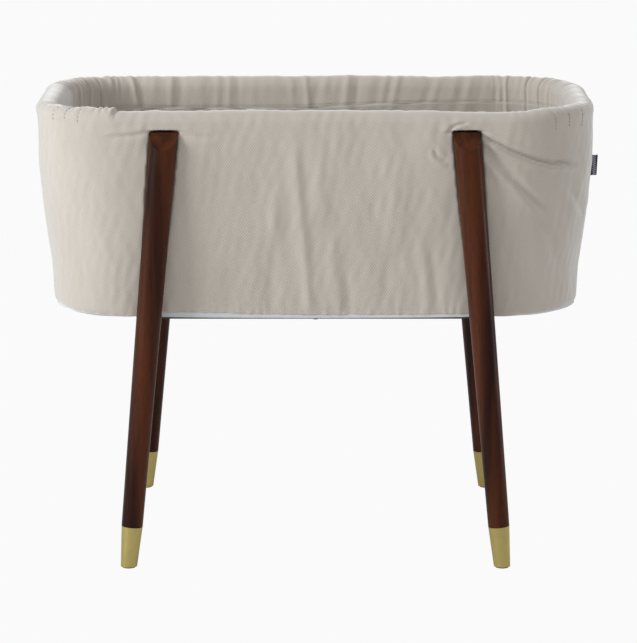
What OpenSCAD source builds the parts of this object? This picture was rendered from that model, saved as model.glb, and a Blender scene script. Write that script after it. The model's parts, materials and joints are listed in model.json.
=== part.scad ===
// Baby cradle: a padded fabric basket on four splayed turned legs.
// Millimetres. Origin on the floor under the middle of the basket, +Z up,
// X along the basket, front towards -Y.

/* [Basket] */
// Length over the rim
rim_len = 888; // [860:2:920]
// Width over the rim
rim_wid = 480; // [470:2:500]
// Height of the rim's crest above the floor
rim_h = 727; // [724:1:732]
// Plan radius of the basket's corners, outside
corner_r = 150; // [140:5:170]
// Thickness of the padded rim roll
roll_d = 40; // [38:1:44]
// How far each end wall leans in towards the base
end_taper = 23; // [15:1:30]
// How far each side wall leans in towards the base
side_taper = 14; // [10:1:16]
// Height where the walls start to lean in
break_z = 630; // [615:1:640]
// Underside of the base board
base_z = 400.5; // [398:0.5:402]

/* [Legs] */
// Half the distance between leg axes along X, at the floor
foot_x = 297; // [290:1:302]
// Half the distance between leg axes along Y, at the floor
foot_y = 262; // [258:1:270]
// Half the distance between leg axes along X, at the leg's top
top_x = 236; // [232:1:240]
// Half the distance between leg axes along Y, at the leg's top
top_y = 238; // [237:0.5:240]
// Height of the leg's top
leg_top = 693.5; // [690:0.5:694]
// Leg radius at its top
leg_r_top = 22.3; // [21.5:0.1:22.5]
// Leg radius where the metal foot cap starts
leg_r_low = 16.9; // [16:0.1:17.4]
// Height of the slanted cut across the outer half of the leg's top
chamfer_h = 25; // [20:1:30]

/* [Foot caps] */
// Height of the cap's upper edge above the floor
cap_h = 66.5; // [58:0.5:72]
// Cap radius at the floor
cap_r_low = 12.9; // [12.4:0.1:13.5]
// Sheet thickness of the cap
cap_wall = 1.2; // [1:0.1:1.5]
// Thickness of the felt glide under each cap
glide_t = 2; // [1.5:0.5:3]
// Radius of the felt glide
glide_r = 10.5; // [9:0.5:11]

/* [Steel frame] */
// Outer radius of the rim tube
tube_r = 8; // [7.5:0.1:8]
// Wall thickness of the rim tube
tube_wall = 1.5; // [1:0.1:2]
// Thickness of the flat bars under the base
bar_t = 4; // [4:0.5:5]
// Width of the flat bars
bar_w = 26; // [24:1:28]
// Distance of a side rail's middle from the centre line
rail_y = 209; // [204:1:210]
// Length of the tab that each crossbar turns down behind a leg
tab_h = 42; // [40:1:50]

/* [Soft parts] */
// Thickness of the cover's fabric
cover_t = 1.7; // [1:0.1:1.8]
// Thickness of the inner fabric
liner_t = 1.5; // [1:0.1:1.6]
// Wall thickness, outer fabric to inner fabric
wall_t = 24; // [23:1:26]
// Height where the cover's inner flap meets the inner fabric
seam_z = 683; // [682:1:685]

/* [Mattress] */
// Mattress length
mat_len = 776; // [760:2:780]
// Mattress width
mat_wid = 384; // [376:2:386]
// Mattress thickness
mat_t = 45; // [35:1:50]
// Plan radius of the mattress's corners
mat_r = 100; // [90:5:105]
// Thickness of the mattress fabric
mat_skin = 1.5; // [1:0.1:2]

/* [Hidden] */
$fn = 48;
SIDES = ["front_left", "front_right", "back_left", "back_right"];

WALNUT = [0.30, 0.15, 0.10];
BRASS = [0.80, 0.72, 0.50];
STEEL = [0.20, 0.14, 0.13];
ZINC = [0.75, 0.75, 0.77];
FELT = [0.25, 0.22, 0.20];
LINEN = [0.80, 0.77, 0.72];
GREY_TAPE = [0.72, 0.73, 0.74];
FOAM = [0.95, 0.93, 0.85];
BOARD = [0.82, 0.83, 0.84];
NAVY = [0.15, 0.15, 0.22];
TICKING = [0.95, 0.94, 0.92];

half_len = rim_len / 2;
half_wid = rim_wid / 2;
roll_r = roll_d / 2;
roll_z = rim_h - roll_r;
taper_low_z = base_z + 2;
gap = 0.3;

// ---- where a leg is, in the quadrant x > 0, y > 0 ----
function leg_x(z) = foot_x + (top_x - foot_x) * z / leg_top;
function leg_y(z) = foot_y + (top_y - foot_y) * z / leg_top;
function leg_r(z) = leg_r_low + (leg_r_top - leg_r_low) * (z - cap_h) / (leg_top - cap_h);
sides = [[-1, -1], [1, -1], [-1, 1], [1, 1]];

// Flats milled on a leg's inner side, where the frame is bolted on
upper_seat_y = half_wid - 21.5;
upper_seat_low = 619;
hem_fold = 2;
bar_z = base_z - hem_fold - bar_t;
tab_mid_z = bar_z - tab_h / 2;
lower_seat_y = leg_y(tab_mid_z) - 16.4;
lower_seat_z = [bar_z - tab_h - 2, bar_z + 2];
plate_t = 3;
plate_z = [624, 702];
plate_half = 12;
upper_bolt_z = [640, 675];
lower_bolt_z = [tab_mid_z - 11, tab_mid_z + 7];
tab_y = lower_seat_y - bar_t;
crossbar_x = leg_x(tab_mid_z);

// ---- M6 hardware ----
bolt_r = 3;
bolt_hole_r = 3.3;
head_r = 5.25;
head_h = 3.3;
washer_r = 6;
washer_t = 1.2;
insert_r = 4.5;
insert_len = 13;
leg_bolt_len = 20;
tee_r = 8.5;
tee_t = 1.2;
tee_barrel_r = 3.9;

// ================= basket walls: rings of stations =================
// A quadrant's stations run from the middle of the end wall, round the corner,
// to the middle of the side wall. Those near a leg follow it as it slants.
near_leg = [29, 13, 0, -13, -28, -45];
plain_side = [185, 110, 0];
corner_steps = 8;
quad = corner_steps + 1 + len(near_leg) + len(plain_side);
ring = 4 * quad;
first_leg_station = corner_steps + 2;
leg_station = first_leg_station + 2;

// [x, y, nx, ny] of station k at height z
function station(k, z) =
    k == 0 ? [half_len, 0, 1, 0] :
    k <= corner_steps + 1 ?
        let (a = 90 * (k - 1) / corner_steps)
        [half_len - corner_r + corner_r * cos(a), half_wid - corner_r + corner_r * sin(a),
         cos(a), sin(a)] :
    k < first_leg_station + len(near_leg) ?
        [leg_x(z) + near_leg[k - first_leg_station], half_wid, 0, 1] :
    [plain_side[k - first_leg_station - len(near_leg)], half_wid, 0, 1];

// Station number and mirror signs of ring point i, anticlockwise from +X
function folded(i) =
    let (q = floor(i / quad), m = i % quad)
    [q % 2 == 0 ? m : quad - m, (q == 1 || q == 2) ? -1 : 1, q >= 2 ? -1 : 1];

function clamp01(v) = max(0, min(1, v));
function lean(z) = clamp01((break_z - z) / (break_z - taper_low_z));
function wall_y(z) = half_wid - side_taper * lean(z);

// The valley that a leg presses into the side wall
valley_w = 36;
valley_spare = 1.4;
function leg_inner_y(z) = max(leg_y(z) - leg_r(z), z > upper_seat_low ? upper_seat_y : 0);
function valley(z) = max(0, wall_y(z) - leg_inner_y(z) + valley_spare);
function valley_at(x, ny, z) = ny < 0.999 ? 0 : valley(z) * exp(-pow((x - leg_x(z)) / valley_w, 2));

// A point of ring i: o is how far inside the outer face, share how much of the valley it takes
function wall_point(i, o, z, share) =
    let (f = folded(i), s = station(f[0], z),
         inset = o + lean(z) * (s[2] * s[2] * end_taper + s[3] * s[3] * side_taper)
                 + share * valley_at(s[0], s[3], min(z, leg_top)))
    [f[1] * (s[0] - inset * s[2]), f[2] * (s[1] - inset * s[3]), z];

// A closed wall: skin_a and skin_b are profiles of [o, z, share] with equal counts,
// from bottom to top. skin_a is the outer one. slit = [row from, row to] opens the wall
// behind each leg, two stations wide.
function beside_slit(i) =
    let (k0 = folded(i)[0], k1 = folded((i + 1) % ring)[0])
    min(k0, k1) >= leg_station - 1 && max(k0, k1) <= leg_station + 1;

module wall(skin_a, skin_b, slit = [-1, -1]) {
    n = len(skin_a);
    function opened(i, j) = beside_slit(i) && j >= slit[0] && j < slit[1];
    function at(i, j, s) = (s * n + j) * ring + (i % ring);
    function quad_face(a, b, c, d) = [[a, b, c], [a, c, d]];
    points = [for (s = [skin_a, skin_b]) for (p = s) for (i = [0 : ring - 1])
        wall_point(i, p[0], p[1], p[2])];
    skins = [for (i = [0 : ring - 1]) for (j = [0 : n - 2]) if (!opened(i, j))
        each concat(
            quad_face(at(i, j, 0), at(i, j + 1, 0), at(i + 1, j + 1, 0), at(i + 1, j, 0)),
            quad_face(at(i, j, 1), at(i + 1, j, 1), at(i + 1, j + 1, 1), at(i, j + 1, 1)))];
    edges = [for (i = [0 : ring - 1]) each concat(
        quad_face(at(i, 0, 0), at(i + 1, 0, 0), at(i + 1, 0, 1), at(i, 0, 1)),
        opened(i, n - 2) ? [] :
            quad_face(at(i, n - 1, 0), at(i, n - 1, 1), at(i + 1, n - 1, 1), at(i + 1, n - 1, 0)))];
    jambs = [for (i = [0 : ring - 1]) for (j = [0 : n - 2]) if (opened(i, j)) each concat(
        opened(i, j - 1) ? [] :
            quad_face(at(i, j, 0), at(i, j, 1), at(i + 1, j, 1), at(i + 1, j, 0)),
        opened(i, j + 1) || j == n - 2 ? [] :
            quad_face(at(i, j + 1, 0), at(i + 1, j + 1, 0), at(i + 1, j + 1, 1), at(i, j + 1, 1)),
        beside_slit((i + ring - 1) % ring) ? [] :
            quad_face(at(i, j, 0), at(i, j + 1, 0), at(i, j + 1, 1), at(i, j, 1)),
        beside_slit((i + 1) % ring) ? [] :
            quad_face(at(i + 1, j, 0), at(i + 1, j, 1), at(i + 1, j + 1, 1), at(i + 1, j + 1, 0)))];
    polyhedron(points, concat(skins, edges, jambs), convexity = 10);
}

// ================= plan shapes =================
// A rounded rectangle with true arcs
module rounded_plan(hx, hy, r) {
    union() {
        square([2 * hx, 2 * (hy - r)], center = true);
        square([2 * (hx - r), 2 * hy], center = true);
        for (sx = [-1, 1]) for (sy = [-1, 1])
            translate([sx * (hx - r), sy * (hy - r)]) circle(r);
    }
}

// The basket's plan at height z, o inside its outer face
module basket_plan(z, o) {
    polygon([for (i = [0 : ring - 1]) let (p = wall_point(i, o, z, 0)) [p[0], p[1]]]);
}

module slab(z0, z1) {
    translate([0, 0, z0]) linear_extrude(z1 - z0) children();
}

// A cylinder along +Y that starts at y0
module bar_along_y(x, y0, z, r, len, fn = 48) {
    translate([x, y0, z]) rotate([-90, 0, 0]) cylinder(h = len, r = r, $fn = fn);
}

module in_quadrant(q) {
    mirror([q[0] < 0 ? 1 : 0, 0, 0]) mirror([0, q[1] < 0 ? 1 : 0, 0]) children();
}

// ================= legs and feet =================
leg_axis = [top_x - foot_x, top_y - foot_y, leg_top];
leg_len = norm(leg_axis);

// Puts +Z along the leg's axis, from the floor, with a round surface's seam off to one side
seam_turn = 63;
module along_leg() {
    translate([foot_x, foot_y, 0])
        rotate([0, acos(leg_axis[2] / leg_len), atan2(leg_axis[1], leg_axis[0])])
            rotate([0, 0, seam_turn]) children();
}

function on_axis(z) = z * leg_len / leg_top;

module leg() {
    shoulder = on_axis(cap_h);
    over = 40;
    slope = (leg_r_top - leg_r_low) / (on_axis(leg_top) - shoulder);
    tenon_r = leg_r_low - cap_wall - 0.15;
    tenon_low_r = cap_r_low - cap_wall - 0.05;
    tenon_z = glide_t + cap_wall + 3;
    color(WALNUT) difference() {
        union() {
            along_leg() translate([0, 0, shoulder])
                cylinder(h = leg_len + over - shoulder, r1 = leg_r_low,
                         r2 = leg_r_top + slope * over, $fn = 96);
            along_leg() translate([0, 0, on_axis(tenon_z)])
                cylinder(h = shoulder - on_axis(tenon_z) + 1, r1 = tenon_low_r, r2 = tenon_r, $fn = 96);
        }
        // level top
        translate([0, 0, leg_top]) cube_from([100, 100, 100], [top_x - 50, top_y - 50, 0]);
        // slanted cut on the outer half
        translate([top_x - 50, top_y, leg_top])
            rotate([-atan2(chamfer_h, leg_r_top), 0, 0]) cube([100, 80, 60]);
        // flats for the bracket and the crossbar's tab
        cube_from([100, 60, 100], [top_x - 50, upper_seat_y - 60, upper_seat_low]);
        cube_from([100, 60, lower_seat_z[1] - lower_seat_z[0]],
                  [crossbar_x - 50, lower_seat_y - 60, lower_seat_z[0]]);
        for (z = upper_bolt_z) insert_bore(z, upper_seat_y);
        for (z = lower_bolt_z) insert_bore(z, lower_seat_y);
    }
}

module cube_from(size, corner) {
    translate(corner) cube(size);
}

module insert_bore(z, seat_y) {
    bar_along_y(leg_x(z), seat_y - 1, z, insert_r, insert_len + 1.5);
    bar_along_y(leg_x(z), seat_y, z, bolt_hole_r, insert_len + 3);
}

module foot_cap() {
    top = on_axis(cap_h) - 0.1;
    top_r = leg_r_low - 0.1;
    slope = (top_r - cap_r_low) / top;
    floor_z = glide_t;
    color(BRASS) difference() {
        along_leg() translate([0, 0, -3])
            cylinder(h = top + 3, r1 = cap_r_low - 3 * slope, r2 = top_r, $fn = 96);
        translate([foot_x - 40, foot_y - 40, floor_z - 60]) cube([80, 80, 60]);
        difference() {
            along_leg() translate([0, 0, -3])
                cylinder(h = top + 4, r1 = cap_r_low - 3 * slope - cap_wall,
                         r2 = top_r - cap_wall + slope, $fn = 96);
            translate([foot_x - 40, foot_y - 40, floor_z + cap_wall - 60]) cube([80, 80, 60]);
        }
    }
}

module floor_glide() {
    color(FELT) translate([leg_x(0) - 0.1, leg_y(0), 0])
        cylinder(h = glide_t - 0.02, r = glide_r, $fn = 64);
}

// ================= steel frame =================
module leg_bracket() {
    color(STEEL) difference() {
        translate([0, upper_seat_y, 0]) rotate([90, 0, 0]) linear_extrude(plate_t)
            polygon([for (p = [[-1, 0], [1, 0], [1, 1], [-1, 1]])
                [leg_x(plate_z[p[1]]) + p[0] * plate_half, plate_z[p[1]]]]);
        // coped to the rim tube that it is welded to
        translate([0, half_wid - roll_r, roll_z]) rotate([0, 90, 0])
            cylinder(h = half_len, r = tube_r + 0.02, $fn = 64);
        for (z = upper_bolt_z)
            bar_along_y(leg_x(z), upper_seat_y - plate_t - 1, z, bolt_hole_r, plate_t + 2);
    }
}

// One half of the rim's centre line, a U, swept as a round tube
module rim_u(sx, r_out, r_in, start = 0) {
    side = half_wid - corner_r;
    bend = corner_r - roll_r;
    module section() {
        difference() {
            circle(r_out, $fn = 32);
            circle(r_in, $fn = 32);
        }
    }
    translate([0, 0, roll_z]) union() {
        for (sy = [-1, 1]) {
            translate([sx > 0 ? start : -(half_len - corner_r), sy * (side + bend), 0])
                rotate([90, 0, 90]) linear_extrude(half_len - corner_r - start) section();
            translate([sx * (half_len - corner_r), sy * side, 0])
                rotate([0, 0, sx > 0 ? (sy > 0 ? 0 : -90) : (sy > 0 ? 90 : 180)])
                    rotate_extrude(angle = 90, $fn = 48) translate([bend, 0]) section();
        }
        translate([sx * (half_len - roll_r), side, 0])
            rotate([90, 0, 0]) linear_extrude(2 * side) section();
    }
}

module rim_tube(sx) {
    color(STEEL) difference() {
        rim_u(sx, tube_r, tube_r - tube_wall);
        for (sy = [-1, 1]) screw_hole(sx, sy, 1.9);
    }
}

connector_len = 80;
screw_x = 25;
module screw_hole(sx, sy, r) {
    translate([sx * screw_x, sy * (half_wid - roll_r), roll_z - tube_r - 1])
        cylinder(h = 6, r = r, $fn = 24);
}

module rim_connector(sy) {
    color(ZINC) difference() {
        translate([-connector_len / 2, sy * (half_wid - roll_r), roll_z]) rotate([0, 90, 0])
            difference() {
                cylinder(h = connector_len, r = tube_r - tube_wall - 0.05);
                translate([0, 0, -1])
                    cylinder(h = connector_len + 2, r = tube_r - tube_wall - 1.6);
            }
        for (sx = [-1, 1]) screw_hole(sx, sy, 1.9);
    }
}

module rim_connector_screws() {
    color(ZINC) for (sx = [-1, 1]) for (sy = [-1, 1])
        translate([sx * screw_x, sy * (half_wid - roll_r), roll_z - tube_r]) {
            translate([0, 0, -1.6]) cylinder(h = 1.6, r = 3.4, $fn = 32);
            translate([0, 0, -0.1]) cylinder(h = 4.2, r = 1.8, $fn = 32);
        }
}

module rim_foam_sleeve() {
    notch_half = 60;
    notch_top = roll_z - 4;
    color(FOAM) difference() {
        for (sx = [-1, 1]) rim_u(sx, roll_r - cover_t - 1.8, tube_r + 0.3);
        for (q = sides) in_quadrant(q)
            cube_from([2 * notch_half, 40, 40],
                      [leg_x(roll_z) - notch_half, half_wid - roll_r - 12, notch_top - 40]);
        for (sx = [-1, 1]) for (sy = [-1, 1])
            translate([sx * screw_x, sy * (half_wid - roll_r), roll_z - tube_r - 2])
                cylinder(h = 4, r = 4, $fn = 32);
    }
}

rail_half = crossbar_x + bar_w / 2;
base_bolt_at = [[-crossbar_x, -rail_y], [crossbar_x, -rail_y], [-crossbar_x, rail_y],
                [crossbar_x, rail_y], [0, -rail_y], [0, rail_y]];

module base_bolt_holes(r) {
    for (p = base_bolt_at) translate([p[0], p[1], base_z - 40]) cylinder(h = 80, r = r);
}

module side_rail(sy) {
    color(STEEL) difference() {
        translate([0, sy * rail_y, 0]) slab(bar_z, bar_z + bar_t) {
            square([2 * rail_half - bar_w, bar_w], center = true);
            for (sx = [-1, 1]) translate([sx * (rail_half - bar_w / 2), 0]) circle(bar_w / 2);
        }
        base_bolt_holes(bolt_hole_r);
    }
}

module crossbar(sx) {
    bend_r = 8;
    outer_y = tab_y + bar_t;
    top_z = bar_z;
    low_z = top_z - tab_h;
    // one end of the side view: a flat bar that turns down over a bend
    module half_profile() {
        square([outer_y - bend_r, bar_t]);
        translate([outer_y - bar_t, -(tab_h - bar_t)]) square([bar_t, tab_h - bend_r]);
        translate([outer_y - bend_r, bar_t - bend_r]) intersection() {
            difference() {
                circle(bend_r);
                circle(bend_r - bar_t);
            }
            square(bend_r);
        }
    }
    color(STEEL) difference() {
        translate([sx * crossbar_x - bar_w / 2, 0, top_z - bar_t])
            rotate([90, 0, 90]) linear_extrude(bar_w) union() {
                half_profile();
                mirror([1, 0]) half_profile();
            }
        base_bolt_holes(bolt_hole_r);
        for (sy = [-1, 1]) for (z = lower_bolt_z)
            translate([sx * leg_x(z), sy * (tab_y - 2), z]) rotate([-90 * sy, 0, 0])
                cylinder(h = bar_t + 4, r = bolt_hole_r);
    }
}

// ================= fasteners =================
// Button-head bolt along +Z, with the underside of its head at z = 0
module button_bolt(len) {
    difference() {
        union() {
            translate([0, 0, -head_h]) cylinder(h = head_h, r1 = head_r - 1.6, r2 = head_r);
            cylinder(h = len, r = bolt_r);
        }
        translate([0, 0, -head_h - 1]) cylinder(h = 3, r = 2.3, $fn = 6);
    }
}

module for_leg_bolts(zs, seat_y) {
    for (q = sides) in_quadrant(q) for (z = zs)
        translate([leg_x(z), seat_y, z]) rotate([-90, 0, 0]) children();
}

module upper_leg_bolts() {
    color(ZINC) for_leg_bolts(upper_bolt_z, upper_seat_y - plate_t - washer_t) button_bolt(leg_bolt_len);
}

module lower_leg_bolts() {
    color(ZINC) for_leg_bolts(lower_bolt_z, tab_y - washer_t) button_bolt(leg_bolt_len);
}

module washer() {
    difference() {
        translate([0, 0, -washer_t]) cylinder(h = washer_t, r = washer_r);
        translate([0, 0, -washer_t - 1]) cylinder(h = washer_t + 2, r = bolt_hole_r);
    }
}

module leg_bolt_washers() {
    color(ZINC) {
        for_leg_bolts(upper_bolt_z, upper_seat_y - plate_t) washer();
        for_leg_bolts(lower_bolt_z, tab_y) washer();
    }
}

module threaded_insert() {
    difference() {
        translate([0, 0, 0.2]) cylinder(h = insert_len - 0.4, r = insert_r - 0.02);
        translate([0, 0, -1]) cylinder(h = insert_len + 2, r = bolt_r + 0.05);
    }
}

module leg_threaded_inserts() {
    color(BRASS) {
        for_leg_bolts(upper_bolt_z, upper_seat_y) threaded_insert();
        for_leg_bolts(lower_bolt_z, lower_seat_y) threaded_insert();
    }
}

board_t = 6;
board_top = base_z + board_t;

module base_bolts() {
    color(ZINC) for (i = [0 : len(base_bolt_at) - 1]) {
        seat = i < 4 ? bar_z - bar_t : bar_z;
        translate([base_bolt_at[i][0], base_bolt_at[i][1], seat])
            button_bolt(board_top - seat - 0.5);
    }
}

module base_tee_nuts() {
    color(ZINC) for (p = base_bolt_at) translate([p[0], p[1], 0]) difference() {
        union() {
            translate([0, 0, board_top]) cylinder(h = tee_t, r = tee_r);
            translate([0, 0, base_z + 0.5]) cylinder(h = board_t, r = tee_barrel_r);
        }
        translate([0, 0, base_z - 1]) cylinder(h = board_t + 4, r = bolt_r + 0.05);
    }
}

module base_board() {
    color(BOARD) difference() {
        slab(base_z, board_top) basket_plan(base_z, cover_t + 0.8);
        for (p = base_bolt_at) translate([p[0], p[1], base_z - 1])
            cylinder(h = board_t + 2, r = tee_barrel_r + 0.05);
    }
}

// ================= fabric and padding =================
slit_low = 621;
slit_lip = leg_top + 1.9;
wall_rows = [445, 495, 545, 590, slit_low, 660];
pad_low = board_top + 2;

// Outer face of the cover, from its turned-under hem to the seam inside
cover_outer = concat(
    [[12, base_z - 1.8, 0], [4, base_z - 1.8, 0], [1, base_z - 1.2, 0], [0, base_z + 1, 0],
     [0, pad_low, 0]],
    [for (z = wall_rows) [0, z, 1]],
    [[0, leg_top + 0.7, 1], [0, slit_lip, 0.45], [0, slit_lip + 4, 0]],
    [for (a = [180 : -30 : 0]) [roll_r + roll_r * cos(a), roll_z + roll_r * sin(a), 0]],
    [[roll_d, seam_z, 0]]);
cover_r = roll_r - cover_t;
cover_inner = concat(
    [[12, base_z - 0.1, 0], [6, base_z - 0.1, 0], [cover_t + 0.6, base_z - 0.1, 0],
     [cover_t, base_z + 1.2, 0], [cover_t, pad_low, 0]],
    [for (z = wall_rows) [cover_t, z, 1]],
    [[cover_t, leg_top + 2.3, 1], [cover_t, slit_lip + 1.6, 0.45], [cover_t, slit_lip + 5, 0]],
    [for (a = [180 : -30 : 0]) [roll_r + cover_r * cos(a), roll_z + cover_r * sin(a), 0]],
    [[roll_d - cover_t, seam_z, 0]]);
hem_rows = 5;
cover_slit_rows = [hem_rows + 4, hem_rows + 7];

module outer_cover() {
    color(LINEN) wall(cover_outer, cover_inner, cover_slit_rows);
}

module hem_binding() {
    z0 = base_z - 1.4;
    z1 = base_z + 3.4;
    color(GREY_TAPE) wall([[-1, z0, 0], [-1, z1, 0]], [[-0.15, z0, 0], [-0.15, z1, 0]]);
}

pad_out = cover_t + 0.4;
pad_in = wall_t - liner_t - 0.8;
pad_high = seam_z + 3;
// [inner face, height, share of the valley] of the padding
pad_inside = concat(
    [[pad_in, pad_low, 0.35]],
    [for (i = [0 : 3]) [pad_in, wall_rows[i], 0.35]],
    [[pad_in + 0.8, slit_low, 0.35], [pad_in + 6.3, wall_rows[5], 0.2],
     [pad_in + 14.3, pad_high, 0]]);

module wall_padding() {
    color(FOAM) wall([for (p = pad_inside) [pad_out, p[1], 1]], pad_inside, [5, 7]);
}

// Outer face of the inner fabric, next to the padding
liner_out = [for (p = pad_inside)
    [p[0] + 0.5, min(p[1], seam_z - 0.6), p[2]]];

module inner_liner() {
    color(LINEN) wall(liner_out, [for (p = liner_out) p + [liner_t, 0, 0]]);
}

module liner_floor() {
    color(LINEN) slab(board_top + tee_t + 0.4, board_top + tee_t + 0.4 + liner_t)
        basket_plan(board_top, wall_t + 1);
}

label_z = [601, 634];
label_out = 11.5;
label_y = -60;
module cover_label() {
    color(NAVY) cube_from([label_out, 1, label_z[1] - label_z[0]],
                          [half_len + gap, label_y, label_z[0]]);
}

// ================= mattress =================
mat_z = board_top + tee_t + 0.4 + liner_t + 0.4;
mat_hx = mat_len / 2;
mat_hy = mat_wid / 2;
piping_r = 2;

module mat_plan(o) {
    rounded_plan(mat_hx - o, mat_hy - o, mat_r - o);
}

module mattress_core() {
    color(FOAM) slab(mat_z + mat_skin + 0.1, mat_z + mat_t - mat_skin - 0.1)
        mat_plan(mat_skin + 0.1);
}

module mattress_panel(z) {
    color(TICKING) slab(z, z + mat_skin) mat_plan(mat_skin + 0.05);
}

module mattress_border() {
    inset = 2 * piping_r;
    color(TICKING) slab(mat_z + inset, mat_z + mat_t - inset) difference() {
        mat_plan(0);
        mat_plan(mat_skin);
    }
}

module mattress_piping(z) {
    color(TICKING) translate([0, 0, z]) difference() {
        union() {
            for (sx = [-1, 1]) for (sy = [-1, 1]) {
                translate([sx * (mat_hx - mat_r), sy * (mat_hy - mat_r), 0])
                    rotate([0, 0, sx > 0 ? (sy > 0 ? 0 : -90) : (sy > 0 ? 90 : 180)])
                        rotate_extrude(angle = 90) translate([mat_r, 0]) circle(piping_r - 0.1);
            }
            for (sy = [-1, 1]) translate([-(mat_hx - mat_r), sy * mat_hy, 0]) rotate([0, 90, 0])
                cylinder(h = 2 * (mat_hx - mat_r), r = piping_r - 0.1);
            for (sx = [-1, 1]) translate([sx * mat_hx, -(mat_hy - mat_r), 0]) rotate([-90, 0, 0])
                cylinder(h = 2 * (mat_hy - mat_r), r = piping_r - 0.1);
        }
        // the panels and the core fill the inside of the loop
        slab(-2 * piping_r, 2 * piping_r) mat_plan(mat_skin + 0.03);
    }
}

zip_half = 270;
zip_z = mat_z + mat_t / 2;
tape_w = 16;
tape_t = 0.8;
teeth_w = 4;
teeth_t = 1.5;
tape_y = mat_hy + 0.1;
teeth_y = tape_y + tape_t;

module zip_chain() {
    sewn_in = 0.01;
    color(TICKING) {
        cube_from([2 * zip_half, tape_t, tape_w], [-zip_half, tape_y, zip_z - tape_w / 2]);
        cube_from([2 * zip_half, teeth_t + sewn_in, teeth_w],
                  [-zip_half, teeth_y - sewn_in, zip_z - teeth_w / 2]);
    }
}

slider_len = 12;
slider_w = 10;
slider_t = 4;
slider_x = -255;
module zip_slider() {
    y0 = teeth_y + gap;
    color(ZINC) translate([slider_x, y0, zip_z]) difference() {
        translate([0, 0, -slider_w / 2]) cube([slider_len, slider_t, slider_w]);
        translate([-1, -1, -teeth_w / 2 - 0.4])
            cube([slider_len + 2, teeth_t + 1.1, teeth_w + 0.8]);
    }
}

// ================= nodes =================
for (i = [0 : 3]) {
    in_quadrant(sides[i]) leg();
    in_quadrant(sides[i]) foot_cap();
    in_quadrant(sides[i]) floor_glide();
    in_quadrant(sides[i]) leg_bracket();
}
rim_tube(-1);  // rim_tube_left
rim_tube(1);  // rim_tube_right
rim_connector(-1);  // rim_connector_front
rim_connector(1);  // rim_connector_back
rim_connector_screws();
rim_foam_sleeve();
side_rail(-1);  // side_rail_front
side_rail(1);  // side_rail_back
crossbar(-1);  // crossbar_left
crossbar(1);  // crossbar_right
leg_threaded_inserts();
upper_leg_bolts();
lower_leg_bolts();
leg_bolt_washers();
base_board();
base_bolts();
base_tee_nuts();
outer_cover();
hem_binding();
wall_padding();
inner_liner();
liner_floor();
cover_label();
mattress_core();
mattress_panel(mat_z + mat_t - mat_skin);  // mattress_top_panel
mattress_border();
mattress_panel(mat_z);  // mattress_bottom_panel
mattress_piping(mat_z + mat_t - piping_r);  // mattress_piping_top
mattress_piping(mat_z + piping_r);  // mattress_piping_bottom
zip_chain();
zip_slider();
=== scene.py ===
"""Looks of the baby cradle: padded fabric basket, walnut legs, brass foot caps and quilted mattress."""
import json
import math

import bpy
import numpy as np
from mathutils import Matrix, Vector


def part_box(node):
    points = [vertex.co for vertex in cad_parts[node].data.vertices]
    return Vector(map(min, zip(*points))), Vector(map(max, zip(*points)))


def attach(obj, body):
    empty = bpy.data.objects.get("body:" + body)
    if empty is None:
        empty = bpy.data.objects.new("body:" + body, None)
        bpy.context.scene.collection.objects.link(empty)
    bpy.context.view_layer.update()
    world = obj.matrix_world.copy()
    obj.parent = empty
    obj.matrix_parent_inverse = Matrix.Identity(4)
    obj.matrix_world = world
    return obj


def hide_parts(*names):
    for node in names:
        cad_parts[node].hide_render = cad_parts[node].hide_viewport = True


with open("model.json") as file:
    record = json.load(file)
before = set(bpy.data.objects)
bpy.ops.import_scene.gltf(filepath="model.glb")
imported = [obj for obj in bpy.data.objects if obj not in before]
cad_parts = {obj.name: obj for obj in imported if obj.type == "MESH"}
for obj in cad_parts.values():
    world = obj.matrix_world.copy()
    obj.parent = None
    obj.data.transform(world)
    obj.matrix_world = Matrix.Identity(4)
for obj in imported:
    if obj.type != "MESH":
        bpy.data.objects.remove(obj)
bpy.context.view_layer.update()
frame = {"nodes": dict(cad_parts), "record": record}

# ---------------------------------------------------------------- sizes, in metres
MM = 0.001
COVER_LOW, COVER_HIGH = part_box("outer_cover")
HALF_LENGTH, HALF_WIDTH = COVER_HIGH.x, COVER_HIGH.y
RIM_TOP, HEM_Z = COVER_HIGH.z, COVER_LOW.z
BOARD_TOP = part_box("base_board")[1].z
SEAM_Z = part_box("inner_liner")[1].z
CORNER_R = 150 * MM
ROLL_R = 20 * MM
ROLL_Z = RIM_TOP - ROLL_R
END_TAPER, SIDE_TAPER = 23 * MM, 14 * MM
BREAK_Z = 630 * MM
TAPER_LOW_Z = BOARD_TOP - 4 * MM
HEM_R = 13 * MM

LEG_TOP = Vector((0.236, 0.238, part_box("leg_front_right")[1].z))
LEG_FOOT = Vector((0.297, 0.262, 0.0))
LEG_R_TOP, LEG_R_LOW = 22.3 * MM, 16.9 * MM
LEG_R_LOW_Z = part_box("foot_cap_front_right")[1].z
LEG_FLAT_Y = HALF_WIDTH - 21.5 * MM
LEG_FLAT_LOW_Z = 619 * MM

STRAIGHT_X = HALF_LENGTH - CORNER_R
STRAIGHT_Y = HALF_WIDTH - CORNER_R
ARC = CORNER_R * math.pi / 2
ROUND_TRIP = 4 * (STRAIGHT_X + STRAIGHT_Y + ARC)
BASKET = "stand_and_basket"
CORNERS = ["front_left", "front_right", "back_left", "back_right"]


# ---------------------------------------------------------------- camera and light
def make_camera():
    data = bpy.data.cameras.new("camera")
    data.sensor_width = 36.0
    data.lens = 184.9
    data.clip_end = 60.0
    camera = bpy.data.objects.new("camera", data)
    camera.location = (0.0048, -5.3406, 1.4101)
    camera.rotation_euler = (math.radians(90 - 11.27), 0, 0)
    bpy.context.scene.collection.objects.link(camera)
    bpy.context.scene.camera = camera


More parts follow.
